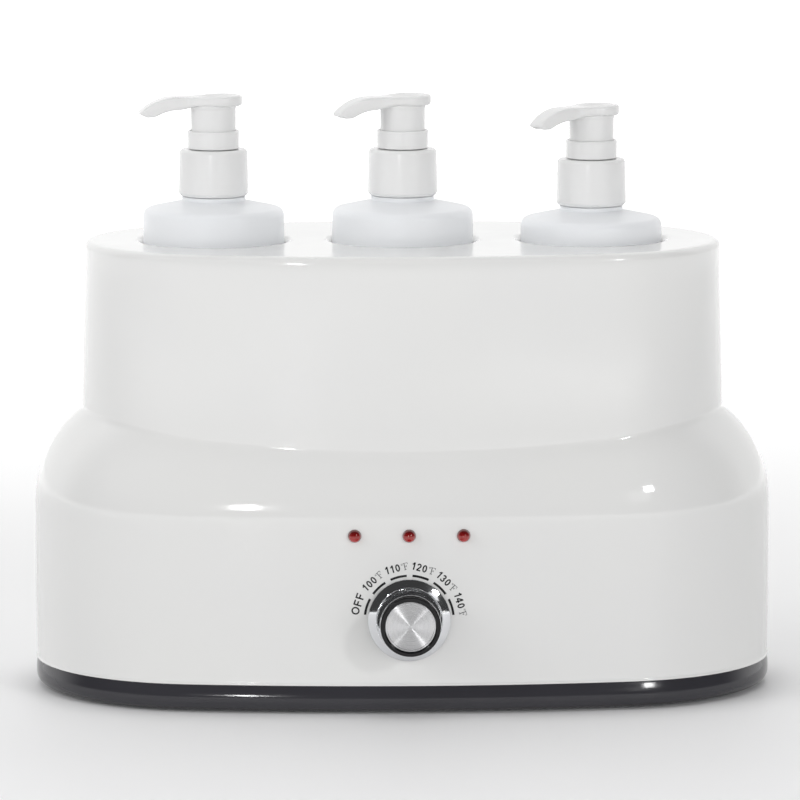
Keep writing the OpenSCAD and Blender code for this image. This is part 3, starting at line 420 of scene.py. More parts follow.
def addPiece(name, verts, faces, body, slot, replaced=(), sharp=34, finish=None):
    mesh = bpy.data.meshes.new(name)
    mesh.from_pydata([tuple(v) for v in verts], [], faces)
    bm = bmesh.new()
    bm.from_mesh(mesh)
    bmesh.ops.remove_doubles(bm, verts=bm.verts, dist=1e-7)
    bmesh.ops.recalc_face_normals(bm, faces=bm.faces)
    bm.to_mesh(mesh)
    bm.free()
    shade(mesh, sharp)
    mesh.materials.append(finish or finishes[slot])
    piece = bpy.data.objects.new(name, mesh)
    scene.collection.objects.link(piece)
    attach(piece, body)
    if replaced:
        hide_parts(*replaced)
    return piece


def smooth(x, a, b):
    t = min(1.0, max(0.0, (x - a)/(b - a)))
    return t*t*(3 - 2*t)


def arc(x, z, rx, rz, start, finish, count=16):
    turns = [radians(start + (finish - start)*j/count) for j in range(count + 1)]
    return [(x + rx*cos(a), z + rz*sin(a)) for a in turns]


def onRing(r, j, steps):
    a = 2*pi*j/steps
    return r*cos(a), r*sin(a)


def roundCorners(points, step=15):   # (radius, height, corner radius) round a closed outline
    out = []
    for k, (x, z, radius) in enumerate(points):
        corner = Vector((x, z))
        if radius <= 0:
            out.append((x, z))
            continue
        before = (Vector(points[k - 1][:2]) - corner).normalized()
        after = (Vector(points[(k + 1) % len(points)][:2]) - corner).normalized()
        half = before.angle(after)/2
        centre = corner + (before + after).normalized()*(radius/sin(half))
        start = corner + before*(radius/tan(half)) - centre
        turn = pi - 2*half
        if before.x*after.y - before.y*after.x > 0:
            turn = -turn
        count = max(2, ceil(abs(degrees(turn))/step))
        for j in range(count + 1):
            a = turn*j/count
            out.append((centre.x + start.x*cos(a) - start.y*sin(a),
                        centre.y + start.x*sin(a) + start.y*cos(a)))
    return out


def lathe(profile, steps, reach=None):   # turns a closed (radius, height) outline into vertices and faces
    verts, rings, faces = [], [], []
    for k, (r, z) in enumerate(profile):
        if r < 1e-6:
            rings.append([len(verts)])
            verts.append((0.0, 0.0, z))
            continue
        rings.append(range(len(verts), len(verts) + steps))
        for j in range(steps):
            verts.append(onRing(r + (reach(k, j) if reach else 0.0), j, steps) + (z,))
    for k in range(len(profile)):
        low, high = rings[k], rings[(k + 1) % len(profile)]
        for j in range(steps):
            n = (j + 1) % steps
            face = [low[j % len(low)], low[n % len(low)], high[n % len(high)], high[j % len(high)]]
            face = list(dict.fromkeys(face))
            if len(face) > 2:
                faces.append(face)
    return verts, faces


def ringFaces(count, around, closed=False):   # quads between rings of points that follow one another
    faces = []
    for k in range(count if closed else count - 1):
        low, high = k*around, (k + 1) % count*around
        for j in range(around):
            n = (j + 1) % around
            faces.append((low + j, low + n, high + n, high + j))
    return faces


def moved(verts, matrix):
    return [matrix @ (Vector(v)*mm) for v in verts]


def cutHoles(piece, holes, sharp=34):   # round holes: radius, foot, top, steps, place
    cutters = []
    for k, (radius, foot, top, steps, where) in enumerate(holes):
        verts, faces = lathe([(0, foot), (radius, foot), (radius, top), (0, top)], steps)
        mesh = bpy.data.meshes.new("cutter")
        mesh.from_pydata([tuple(v) for v in moved(verts, where)], [], faces)
        cutter = bpy.data.objects.new("cutter" + str(k), mesh)
        scene.collection.objects.link(cutter)
        cutters.append(cutter)
        modifier = piece.modifiers.new("hole" + str(k), "BOOLEAN")
        modifier.object = cutter
        modifier.operation = "DIFFERENCE"
        modifier.solver = "EXACT"
    mesh = bpy.data.meshes.new_from_object(piece.evaluated_get(bpy.context.evaluated_depsgraph_get()))
    piece.modifiers.clear()
    piece.data = mesh
    shade(mesh, sharp)
    for cutter in cutters:
        bpy.data.objects.remove(cutter)


def inWell(side, yaw=0.0):
    spot = (place["bottleX"][side]*mm, place["bodyY"]*mm, place["bottleFoot"][side]*mm)
    return Matrix.Translation(spot) @ Matrix.Rotation(radians(yaw), 4, "Z")


def addToEach(name, shape, body, slot, replaced=""):   # the same piece for each bottle
    verts, faces = shape
    for side in sides:
        addPiece(name + "_" + side, moved(verts, inWell(side)), faces, body + "_" + side, slot,
                 [replaced + "_" + side] if replaced else ())


def onFront(x, z, y):   # local z points out of the front
    return Matrix.Translation((x*mm, y*mm, z*mm)) @ Matrix.Rotation(radians(90), 4, "X")


# Housing: one closed skin on the two ovals, each a chain of four arcs
housingSet = {
    "body": {"endX": 81.25, "endR": 73.75, "faceY": 525.0, "faceR": 605.0},
    "tier": {"endX": 72.0, "endR": 63.0, "faceY": 320.0, "faceR": 391.0},
    "footZ": 12.0, "lip": ((0.3, 0.0), (0.08, 0.08), (0.0, 0.3), (0.0, 0.5), (0.1, 0.74), (0.26, 0.94), (0.3, 1.2)),
    "lipIn": 0.3, "lipTop": 2.4, "lipFade": (14, 42), "wallRows": (18, 24, 32, 40, 56, 68, 77),
    "shoulderZ": 78.5, "shoulderR": 48.5, "bend": (0.6, 0.8), "shoulderRows": (30, 10),   # outside, inside
    "draftZ": 119.75, "draft": 1.2, "deckZ": 188.4, "deckEdge": (3.0, 1.5), "deckRim": 1.2, "deckT": 4.0,
    "wall": 2.5, "creaseFillet": 1.8, "creaseRows": 6, "lowRows": 3, "highRows": 7, "edgeRows": 8,
    "holeR": 30.4, "holeEdge": 3.0, "holeRim": 1.0, "holeRows": 9,
    "lampHoleR": 2.75, "knobHoleR": 4.85, "glandHoleR": 6.4, "cutHalf": 9.0, "cutIn": 6.0,
    "endColumns": 76, "faceColumns": 60, "holeSteps": 128,
}


def ovalColumns(oval):   # every column as arc centre, radius and direction
    turn = atan2(oval["faceY"], oval["endX"])
    arcs = [
        (oval["endX"], 0, oval["endR"], -turn, turn, housingSet["endColumns"]),
        (0, -oval["faceY"], oval["faceR"], turn, pi - turn, housingSet["faceColumns"]),
        (-oval["endX"], 0, oval["endR"], pi - turn, pi + turn, housingSet["endColumns"]),
        (0, oval["faceY"], oval["faceR"], pi + turn, 2*pi - turn, housingSet["faceColumns"]),
    ]
    return [(x, y, r, a + (b - a)*j/n) for x, y, r, a, b, n in arcs for j in range(n)]


def onOval(column, out):
    x, y, r, a = column
    return Vector((x + (r + out)*cos(a), y + (r + out)*sin(a)))


def bodyInset(point):   # how far a point lies inside the lower oval, and the way out
    body = housingSet["body"]
    end = Vector((abs(point.x) - body["endX"], point.y))
    if end.x > 0 and abs(end.y)*body["endX"] <= end.x*body["faceY"]:
        out = Vector((copysign(end.x, point.x), end.y))
        return body["endR"] - out.length, out.normalized()
    out = Vector((point.x, point.y + copysign(body["faceY"], point.y)))
    return body["faceR"] - out.length, out.normalized()


def shoulderHeight(inset, depth):   # arc, then a straight slope, at a depth inside the skin
    r = housingSet["shoulderR"] - depth
    c, (bendCos, bendSin) = housingSet["shoulderR"] - inset, housingSet["bend"]
    if c >= bendCos*r:
        return housingSet["shoulderZ"] + sqrt(max(0.0, r*r - c*c))
    return housingSet["shoulderZ"] + bendSin*r + bendCos/bendSin*(bendCos*r - c)


def tierOut(z):
    return min(0.0, (housingSet["draftZ"] - z)*tan(radians(housingSet["draft"])))


def skinColumn(column, depth):   # one column of the skin from its foot to the deck's edge
    s = housingSet
    inner = int(depth > 0)
    foot = onOval(column, -depth)
    inset, out = bodyInset(foot)
    r = s["shoulderR"] - depth
    points = []

    def addLow(t, z):
        spot = foot + out*(inset - t)
        points.append((spot.x, spot.y, z))

    def addHigh(outset, z):
        spot = onOval(column, outset)
        points.append((spot.x, spot.y, z))

    if not inner:
        for t, rise in s["lip"]:
            addLow(t, s["footZ"] + rise)
    for z in (s["footZ"] + (0.0 if inner else s["lipTop"]),) + s["wallRows"]:
        addLow(depth + (0.0 if inner else s["lipIn"]*(1 - smooth(z, *s["lipFade"]))), z)
    fillet = 0.0 if inner else s["creaseFillet"]
    last = acos((s["shoulderR"] - inset + fillet)/r)
    rows = s["shoulderRows"][inner]
    for j in range(rows + 1):
        t = s["shoulderR"] - r*cos(last*j/rows)
        addLow(t, shoulderHeight(t, depth))
    crease = Vector((foot.x, foot.y, shoulderHeight(inset, depth)))
    if inner:
        points.append(tuple(crease))
    else:
        start, finish = Vector(points[-1]), crease + Vector((0, 0, fillet))
        for j in range(1, s["creaseRows"] + 1):
            u = j/s["creaseRows"]
            points.append(tuple(start*(1 - u)**2 + crease*2*u*(1 - u) + finish*u*u))
    edge, top = s["deckEdge"][inner], s["deckZ"] - inner*s["deckT"]
    low, mid, edgeZ = points[-1][2], s["draftZ"], top - edge
    heights = [low + (mid - low)*j/s["lowRows"] for j in range(1, s["lowRows"] + 1)]
    heights += [mid + (edgeZ - mid)*j/s["highRows"] for j in range(1, s["highRows"] + 1)]
    for z in heights:
        addHigh(tierOut(z) - depth, z)
    for j in range(1, s["edgeRows"] + 1):
        a = radians(90*j/s["edgeRows"])
        addHigh(tierOut(edgeZ) - depth - edge*(1 - cos(a)), edgeZ + edge*sin(a))
    addHigh(tierOut(edgeZ) - depth - edge - s["deckRim"], top)
    return points


def fillPlate(bm, loops):   # flat plate between rings of vertices
    edges = []
    for loop in loops:
        for j in range(len(loop)):
            a, b = loop[j - 1], loop[j]
            edges.append(bm.edges.get((a, b)) or bm.edges.new((a, b)))
    bmesh.ops.triangle_fill(bm, use_beauty=True, edges=edges)


def bridge(bm, low, high):
    for j in range(len(low)):
        n = (j + 1) % len(low)
        bm.faces.new((low[j], low[n], high[n], high[j]))


def makeHousing():
    s = housingSet
    bm = bmesh.new()
    columns = ovalColumns(s["tier"])
    skins = []
    for depth in (0.0, s["wall"]):
        grid = [skinColumn(column, depth) for column in columns]
        rows = [[bm.verts.new(grid[c][k]) for c in range(len(columns))] for k in range(len(grid[0]))]
        for k in range(len(rows) - 1):
            bridge(bm, rows[k], rows[k + 1])
        skins.append(rows)
    bridge(bm, skins[0][0], skins[1][0])
    tops, unders = [skins[0][-1]], [skins[1][-1]]
    deck = s["deckZ"]
    edge = [(s["holeR"] + s["holeEdge"] + s["holeRim"], deck)]
    for j in range(s["holeRows"] + 1):
        a = radians(90*j/s["holeRows"])
        edge.append((s["holeR"] + s["holeEdge"]*(1 - sin(a)), deck - s["holeEdge"]*(1 - cos(a))))
    edge.append((s["holeR"], deck - s["deckT"]))
    for side in sides:
        rings = []
        for r, z in edge:
            spots = [onRing(r, j, s["holeSteps"]) for j in range(s["holeSteps"])]
            rings.append([bm.verts.new((place["bottleX"][side] + x, y, z)) for x, y in spots])
        for k in range(len(rings) - 1):
            bridge(bm, rings[k], rings[k + 1])
        tops.append(rings[0])
        unders.append(rings[-1])
    fillPlate(bm, tops)
    fillPlate(bm, unders)
    bmesh.ops.transform(bm, matrix=Matrix.Translation((0, place["bodyY"], 0)), verts=bm.verts)
    bm.verts.index_update()
    verts = [tuple(v.co*mm) for v in bm.verts]
    faces = [[v.index for v in f.verts] for f in bm.faces]
    bm.free()
    piece = addPiece("housingShell", verts, faces, "warmer", "housing", ["housing"])
    front, rear = place["frontY"] + s["cutIn"], -place["frontY"] + 2*place["bodyY"]
    holes = [(k*place["lampPitch"], place["lampZ"], s["lampHoleR"], front) for k in (-1, 0, 1)]
    holes += [(0.0, place["knobZ"], s["knobHoleR"], front), (0.0, place["glandZ"], s["glandHoleR"], rear)]
    cutHoles(piece, [(r, -s["cutHalf"], s["cutHalf"], 40, onFront(x, z, y)) for x, z, r, y in holes])
    return piece


housingShell = makeHousing()
print("housing ready:", len(housingShell.data.polygons), "faces")


# Bottles, collars and lock rings: turned pieces, heights above the bottle's foot
bottleSet = {"r": 29.6, "wall": 1.2, "footR": 4.0, "edgeR": 3.5, "rootZ": 110.8, "slope": 12.0, "neckR": 13.3,
             "beadTop": 112.7, "finishR": 12.2, "boreR": 11.0, "boreDrop": 1.6, "topZ": 128.7, "punt": 1.0,
             "puntIn": (9.0, 8.6), "standIn": (7.0, 6.6), "edgeT": 1.1, "rows": (20, 60), "rowDrop": 6, "steps": 144}


def bottleProfile():
    s = bottleSet
    edgeZ = s["rootZ"] - (s["r"] - s["neckR"])*tan(radians(s["slope"]))
    inR, inEdgeZ = s["r"] - s["wall"], edgeZ - s["wall"]*s["edgeT"]
    puntR, standR = [s["r"] - t for t in s["puntIn"]], [s["r"] - t for t in s["standIn"]]
    outside = [(0, s["punt"], 0), (puntR[0], s["punt"], 2.0), (standR[0], 0, 0.8), (s["r"], 0, s["footR"])]
    outside += [(s["r"], z, 0) for z in s["rows"] + (edgeZ - s["rowDrop"],)]
    outside += [(s["r"], edgeZ, s["edgeR"]), (s["neckR"], s["rootZ"], 0.7), (s["neckR"], s["beadTop"], 0.4),
                (s["finishR"], s["beadTop"], 0.3), (s["finishR"], s["topZ"], 0.4)]
    inside = [(s["boreR"], s["topZ"], 0.4), (s["boreR"], s["rootZ"] - s["boreDrop"], 1.0),
              (inR, inEdgeZ, s["edgeR"] - s["wall"]), (inR, s["wall"], s["footR"] - s["wall"]),
              (standR[1], s["wall"], 0.6), (puntR[1], s["punt"] + s["wall"], 1.0), (0, s["punt"] + s["wall"], 0)]
    return roundCorners(outside + inside, 10)


collarSet = {"footR": 14.7, "topR": 14.2, "foot": 113.0, "top": 132.4, "edgeR": 1.6, "footIn": 0.9, "boreR": 12.9,
             "holeR": 8.3, "topT": 1.5, "steps": 120}


def collarProfile():
    s = collarSet
    points = [(s["boreR"], s["foot"], 0.25), (s["footR"] - s["footIn"], s["foot"], 0.3),
              (s["footR"], s["foot"] + 1.4*s["footIn"], 0.7), (s["topR"], s["top"], s["edgeR"]),
              (s["holeR"], s["top"], 0.25), (s["holeR"], s["top"] - s["topT"], 0.2),
              (s["boreR"], s["top"] - s["topT"], 0.3)]
    return roundCorners(points, 10)


ringSet = {"r": 10.75, "foot": 132.7, "top": 140.3, "chamfer": 0.6, "guideR": 8.05, "guideTop": 134.5,
           "stemR": 3.55, "webTop": 136.0, "wellR": 9.7, "steps": 96}


def ringProfile():
    s = ringSet
    points = [(s["guideR"], s["foot"], 0.15), (s["r"], s["foot"], 0.35), (s["r"], s["top"], s["chamfer"]),
              (s["wellR"], s["top"], 0.25), (s["wellR"], s["webTop"], 0.3), (s["stemR"], s["webTop"], 0.2),
              (s["stemR"], s["guideTop"], 0.2), (s["guideR"], s["guideTop"], 0.2)]
    return roundCorners(points, 12)


turned = {
    "bottle": (bottleProfile, bottleSet, "bottle_body", "bottle"),
    "pump_collar": (collarProfile, collarSet, "collar", "pump_white"),
    "lock_ring": (ringProfile, ringSet, "pump", "pump_white"),
}
for node, (profile, given, body, slot) in turned.items():
    addToEach(node + "Turned", lathe(profile(), given["steps"]), body, slot, node)


threadSet = {"foot": 116.4, "pitch": 4.2, "turns": 1.75, "rootR": 12.1, "crestR": 12.8, "rootHalf": 0.95,
             "crestHalf": 0.4, "runOut": 9, "steps": 72}


def makeThread():   # screw thread on the bottle's neck, hidden by the collar at rest
    s = threadSet
    count = round(s["turns"]*s["steps"])
    verts = []
    for k in range(count + 1):
        z = s["foot"] + s["pitch"]*k/s["steps"]
        full = min(1.0, (min(k, count - k) + 1)/s["runOut"])   # runs out at both ends
        crest = s["rootR"] + (s["crestR"] - s["rootR"])*full
        for r, h in ((s["rootR"], -s["rootHalf"]), (crest, -s["crestHalf"]), (crest, s["crestHalf"]),
                     (s["rootR"], s["rootHalf"])):
            verts.append(onRing(r, k, s["steps"]) + (z + h,))
    return verts, ringFaces(count + 1, 4) + [(0, 1, 2, 3), tuple(range(4*count, 4*count + 4))]


addToEach("bottleThread", makeThread(), "bottle_body", "bottle")
print("bottles ready")


# Pump heads: a drooping spout and a dished pad over a round skirt
headSet = {"padR": 9.8, "padX": 2.4, "joinEase": 1.0, "rootX": -11.4, "rootW": 5.3, "tipX": -31.9, "tipW": 3.6,
           "tipR": 1.0, "foot": 150.6, "top": 155.0, "apex": -14.6, "bendR": 22.5, "cut": 146.3, "cutEase": 0.3,
           "deep": 1.3, "deepFrom": 7.0, "deepTo": 15.0, "edgeTop": 1.3, "edgeFoot": 1.4, "tipSharp": 0.35,
           "sharpFrom": 8.0, "dish": 1.15, "dishX": 1.9, "dishLong": 1.05, "dishWide": 1.06, "dishFlat": 0.35,
           "rim": 1.5, "saddle": 0.35, "saddleHalf": 9.0, "tipRise": 0.6, "riseFrom": 10.0, "tipTo": 26.0,
           "skirtR": 9.4, "skirtIn": 7.8, "skirtFoot": 136.3, "flare": 0.32, "flareH": 1.2, "sink": 0.6,
           "socketR": 4.9, "stemR": 3.55, "socketFoot": 139.3, "stemTop": 148.5, "roofDrop": 2.0,
           "boreX": -28.4, "boreR": 1.4, "boreDepth": 2.6, "boreBelow": 3.0, "along": 34, "across": 14}


def headHalfWidth(x):
    s = headSet
    pad = sqrt(max(0.0, s["padR"]**2 - (x - s["padX"])**2))
    if x > s["padX"]:
        return pad
    if x > s["rootX"]:
        line = s["padR"] + (s["rootW"] - s["padR"])*(s["padX"] - x)/(s["padX"] - s["rootX"])
    else:
        line = s["rootW"] + (s["tipW"] - s["rootW"])*(s["rootX"] - x)/(s["rootX"] - s["tipX"])
    ease = s["joinEase"]   # soft join where the pad runs into the spout
    both = ease*log(exp(pad/ease) + exp(line/ease))
    return both - ease*log(2)*exp(-abs(pad - line)/ease)


def headOutline():   # half plan from the pad's end to the tip, as point and way out
    s = headSet
    stops = [s["padX"] + s["padR"]*cos(radians(a)) for a in range(0, 90, 6)]
    stops += [s["padX"] + (s["tipX"] + s["tipR"] - s["padX"])*j/s["along"] for j in range(s["along"] + 1)]
    half = [Vector((x, headHalfWidth(x))) for x in stops]
    for a in (22.5, 45, 67.5, 90):   # tip corner
        half.append(Vector((s["tipX"] + s["tipR"] - s["tipR"]*sin(radians(a)),
                            s["tipW"] - s["tipR"] + s["tipR"]*cos(radians(a)))))
    half.append(Vector((s["tipX"], 0)))
    ways = [Vector((1, 0))]
    for before, after in zip(half, half[2:]):
        along = (after - before).normalized()
        out = Vector((along.y, -along.x))
        ways.append(-out if out.y < 0 else out)
    return half, ways + [Vector((-1, 0))]


def headTop(x, y):   # height of the upper face: raised rim, dish and a low saddle before the spout
    s = headSet
    away = hypot((x - s["dishX"])/s["dishLong"], y*s["dishWide"])/(s["padR"] - s["rim"])
    dish = s["dish"]*(1 - smooth(away, s["dishFlat"], 1.0))
    saddle = s["saddle"]*(1 - smooth(x, -s["saddleHalf"], s["saddleHalf"]))
    return s["top"] - dish - saddle*(1 - s["tipRise"]*smooth(-x, s["riseFrom"], s["tipTo"]))


def edgeShare(x):   # full rounding on the pad, less towards the tip
    return 1 - headSet["tipSharp"]*smooth(-x, headSet["sharpFrom"], headSet["tipTo"])


def headFoot(x):   # height of the lower face, deeper under the spout
    return headSet["foot"] - headSet["deep"]*smooth(-x, headSet["deepFrom"], headSet["deepTo"])


def bend(x, y, z):   # droops the spout and cuts its end level, so the outlet faces down
    s = headSet
    if x >= s["apex"]:
        return (x, y, z)
    a = (s["apex"] - x)/s["bendR"]
    r = s["bendR"] + z - (s["top"] + s["foot"])/2
    z = (s["top"] + s["foot"])/2 - s["bendR"] + r*cos(a)
    ease = s["cutEase"]
    return (s["apex"] - r*sin(a), y, s["cut"] + ease*log(1 + exp((z - s["cut"])/ease)))


def makeHead():
    s = headSet
    half, ways = headOutline()
    verts = []
    edge = [(s["edgeFoot"]*(1 - sin(radians(a))), -1, s["edgeFoot"]*(1 - cos(radians(a))))
            for a in (0, 22.5, 45, 67.5, 90)]
    edge += [(s["edgeTop"]*(1 - cos(radians(a))), 1, s["edgeTop"]*(1 - sin(radians(a))))
             for a in (0, 18, 36, 54, 72, 90)]

    def addSpot(k, inward, face, gap, across):   # across runs from 1 to -1 over the width
        share = edgeShare(half[k].x)
        spot = half[k] - ways[k]*inward*share
        y = max(spot.y, 0.0)*across
        z = headFoot(spot.x) + gap*share if face < 0 else headTop(spot.x, y) - gap*share
        verts.append(bend(spot.x, y, z))

    around = [(k, 1) for k in range(len(half))] + [(k, -1) for k in range(len(half) - 2, 0, -1)]
    for inward, face, gap in edge:
        for k, sign in around:
            addSpot(k, inward, face, gap, sign)
    faces = ringFaces(len(edge), len(around))
    for inward, face in ((s["edgeFoot"], -1), (s["edgeTop"], 1)):
        base, row = len(verts), s["across"] + 1
        for k in range(len(half)):
            for j in range(row):
                addSpot(k, inward, face, 0.0, 1 - 2*j/s["across"])
        for k in range(len(half) - 1):
            a, b = base + k*row, base + (k + 1)*row
            faces += [(a + j, a + j + 1, b + j + 1, b + j) for j in range(s["across"])]
    roof = s["stemTop"] - s["roofDrop"]
    outline = [(s["stemR"], s["socketFoot"], 0.3), (s["socketR"], s["socketFoot"], 0.3), (s["socketR"], roof, 0.5),
               (s["skirtIn"], roof, 0.5), (s["skirtIn"], s["skirtFoot"], 0.2), (s["skirtR"], s["skirtFoot"], 0.35),
               (s["skirtR"], s["foot"] - s["flareH"], 1.2), (s["skirtR"] + s["flare"], s["foot"], 0),
               (s["skirtR"] - s["sink"], s["foot"] + s["sink"], 0), (0, s["foot"] + s["sink"], 0),
               (0, s["stemTop"], 0), (s["stemR"], s["stemTop"], 0)]
    return verts, faces, lathe(roundCorners(outline, 15), 96)


def headPiece(side):
    s = headSet
    verts, faces, (skirtVerts, skirtFaces) = makeHead()
    where = inWell(side, place["spoutYaw"][side])
    faces = faces + [[len(verts) + v for v in face] for face in skirtFaces]
    piece = addPiece("pumpHead_" + side, moved(verts + skirtVerts, where), faces, "head_" + side, "pump_white",
                     ["pump_head_" + side], 40)
    bore = where @ Matrix.Translation((s["boreX"]*mm, 0, 0))
    cutHoles(piece, [(s["boreR"], s["cut"] - s["boreBelow"], s["cut"] + s["boreDepth"], 28, bore)], 40)


for side in sides:
    headPiece(side)
print("pump heads ready")


# Springs wound from round wire
springSet = {"foot": 97.5, "length": 14.0, "wire": 1.0, "r": 4.1, "gap": 0.05, "turns": 6.0, "perTurn": 40,
             "round": 14}


def makeSpring():
    s = springSet
    total = int(s["turns"]*s["perTurn"])
    verts = []
    free = s["length"] - s["wire"] - 2*s["gap"]
    for k in range(total + 1):
        turn = k/s["perTurn"]
        z = s["foot"] + s["wire"]/2 + s["gap"] + free*turn/s["turns"]
        for j in range(s["round"]):
            out, up = onRing(s["wire"]/2, j, s["round"])
            verts.append(onRing(s["r"] + out, turn, 1) + (z + up,))
    ends = [tuple(range(k*s["round"], (k + 1)*s["round"])) for k in (0, total)]
    return verts, ringFaces(total + 1, s["round"]) + ends


addToEach("springCoil", makeSpring(), "pump", "fastener", "pump_spring")


# Knob: chrome skirt with a knurled grip, black ring, spun disc; local z points out of the front
knobSet = {"z": place["knobZ"], "y": -73.35, "skirtR": 17.0, "edgeH": 1.1, "flangeTop": 2.4, "gripFoot": 13.5,
           "gripR": 12.6, "seatH": 14.0, "ringR": 12.4, "ringIn": 10.5, "top": 17.2, "faceR": 10.45, "faceTop": 16.5,
           "faceSeat": 15.3, "hubH": 7.2, "hubR": 8.5, "lines": 140, "perLine": 6, "lineDepth": 0.24,
           "indexAngle": 14.5, "indexHalf": 0.42, "indexT": 0.12}


def knobPiece(name, points, steps, slot, replaced, reach=None, sharp=34):
    verts, faces = lathe(points, steps, reach)
    spot = onFront(0.0, knobSet["z"], knobSet["y"])
    return addPiece(name, moved(verts, spot), faces, "knob", slot, [replaced], sharp)


def makeKnob():
    s = knobSet
    skirt = roundCorners([(s["hubR"], 0.0, 0.3), (s["skirtR"], 0.0, 0.3), (s["skirtR"], s["edgeH"], 0.4),
                          (s["gripFoot"] + 0.3, s["flangeTop"], 0.35)], 15)
    grip = [(s["gripFoot"] + 0.1, s["flangeTop"] + 0.25), (s["gripFoot"], s["flangeTop"] + 0.3),
            (s["gripFoot"] - 0.05, s["flangeTop"] + 0.9), (s["gripR"] + 0.1, s["seatH"] - 1.1),
            (s["gripR"] + 0.05, s["seatH"] - 0.7)]
    front = [(s["gripR"] - 0.1, s["seatH"] - 0.6), (s["gripR"], s["seatH"] - 0.4), (s["gripR"] - 0.1, s["seatH"]),
             (s["faceR"], s["seatH"]), (s["faceR"], s["faceSeat"]), (0.0, s["faceSeat"]), (0.0, s["hubH"]),
             (s["hubR"], s["hubH"])]
    cut = range(len(skirt) + 1, len(skirt) + 5)

    def knurl(k, j):
        return -s["lineDepth"]*(0.5 + 0.5*cos(2*pi*j/s["perLine"])) if k in cut else 0.0

    steps = s["lines"]*s["perLine"]
    knobPiece("knobSkirt", skirt + grip + front, steps, "knob_chrome", "knob_skirt", knurl, 50)
    ring = roundCorners([(s["ringIn"], s["seatH"], 0), (s["ringR"], s["seatH"], 0), (s["ringR"], s["top"], 0.55),
                         (s["ringIn"], s["top"], 0.55)], 12)
    knobPiece("knobRing", ring, 160, "knob_black", "knob_ring")
    face = roundCorners([(0.0, s["faceSeat"], 0), (s["faceR"], s["faceSeat"], 0), (s["faceR"], s["faceTop"], 0.3),
                         (s["faceR"] - 0.75, s["faceTop"], 0.0), (s["faceR"] - 0.9, s["faceTop"] - 0.15, 0.0),
                         (0.0, s["faceTop"] - 0.15, 0)], 15)
    knobPiece("knobDisc", face, 160, "knob_spun", "knob_face")
    a = radians(s["indexAngle"])
    span = [(s["gripFoot"] + 0.6, s["flangeTop"] - 0.2), (s["skirtR"] - 0.4, s["edgeH"] - 0.02)]
    verts = []
    for r, h in span:
        for side in (-s["indexHalf"], s["indexHalf"]):
            for lift in (0.0, s["indexT"]):
                verts.append((r*cos(a) - side*sin(a), r*sin(a) + side*cos(a), h + lift))
    faces = [(0, 2, 3, 1), (4, 5, 7, 6), (0, 1, 5, 4), (2, 6, 7, 3), (1, 3, 7, 5), (0, 4, 6, 2)]
    addPiece("knobIndex", moved(verts, onFront(0.0, s["z"], s["y"])), faces, "knob", None,
             finish=finishes["indexPaint"])


makeKnob()


# Strip round the tray's rim, leaning back above its widest line
bandSet = {"top": 11.7, "topDeep": 0.9, "topIn": 0.42, "wideZ": 6.8, "wideIn": 0.03, "roundR": 4.35, "roundX": 4.4,
           "roundZ": 5.5, "footIn": 0.2, "footZ": 1.9, "innerIn": 1.4, "innerZ": 5.5, "leanFrom": 5.8,
           "leanTo": 13.4, "lean": 1.07}


def makeBandFinish():   # the strip's lean, which the light shows, is deeper than its mesh
    s = bandSet
    mat = finishes["base"].copy()
    mat.name = "charcoalStrip"
    tree = mat.node_tree
    height = addRange(tree, addSplit(tree, objectPoint(tree))["Z"], s["leanFrom"]*mm, s["leanTo"]*mm, 0.0,
                      -s["lean"]*mm, eased=True)
    skin = tree.nodes["Principled BSDF"].inputs["Normal"].links[0].from_node
    addBump(tree, skin, height, 1.0, 1.0)
    return mat


def makeBand():
    s = bandSet
    profile = [(s["topDeep"], s["top"])]
    for j in range(9):
        u = j/8
        inset = s["topIn"] + (s["wideIn"] - s["topIn"])*sin(pi/2*u)
        profile.append((inset, s["top"] + (s["wideZ"] - s["top"])*u))
    profile += arc(s["roundX"], s["roundZ"], -s["roundR"], -s["roundR"], 0, 84, 14)
    profile += [(s["roundX"] + s["footIn"], s["footZ"]), (s["innerIn"], s["innerZ"])]
    columns = ovalColumns(housingSet["body"])
    verts = []
    for inset, z in profile:
        for column in columns:
            spot = onOval(column, -inset)
            verts.append((spot.x*mm, (spot.y + place["bodyY"])*mm, z*mm))
    faces = ringFaces(len(profile), len(columns), True)
    addPiece("trayBand", verts, faces, "warmer", "base", finish=makeBandFinish())


makeBand()


# Lamps: a round body behind the wall, a flange and a domed lens
lampSet = {"r": 2.65, "flangeR": 3.45, "flangeT": 1.2, "boardY": 9.5, "wall": 2.6}


def frontFace(x):   # y of the lower front wall
    body = housingSet["body"]
    return place["bodyY"] + body["faceY"] - sqrt(body["faceR"]**2 - x*x)


for k, side in enumerate(sides):
    x = (k - 1)*place["lampPitch"]
    back = place["frontY"] + lampSet["boardY"]
    length = back - frontFace(x)
    flange = length - lampSet["wall"]
    r, wide, seat = lampSet["r"], lampSet["flangeR"], flange - lampSet["flangeT"]
    section = [(0, 0), (r, 0), (r, seat), (wide, seat), (wide, flange), (r, flange)]
    verts, faces = lathe(section + arc(0, length, r, r, 0, 84, 14) + [(0, length + r)], 56)
    addPiece("lampLens_" + side, moved(verts, onFront(x, place["lampZ"], back)), faces, "warmer", "lamp",
             ["lamp_" + side])
print("knob and lamps ready")


# Dial print, laid on the curved front wall: letters drawn as strokes, in units of their height
dialSet = {
    "x": 0.0, "z": place["knobZ"], "textR": 20.5, "barR": 18.3, "barHalf": 10.8, "barT": 0.95, "proud": 0.05,
    "barSteps": 12, "stroke": 0.175, "unitSize": 2.9, "unitGap": 0.35,
    "marks": {"OFF": (162.5, 3.4, False), "100": (133.3, 3.15, True), "110": (104.0, 3.15, True),
              "120": (75.0, 3.15, True), "130": (46.0, 3.15, True), "140": (16.6, 3.15, True)},
}


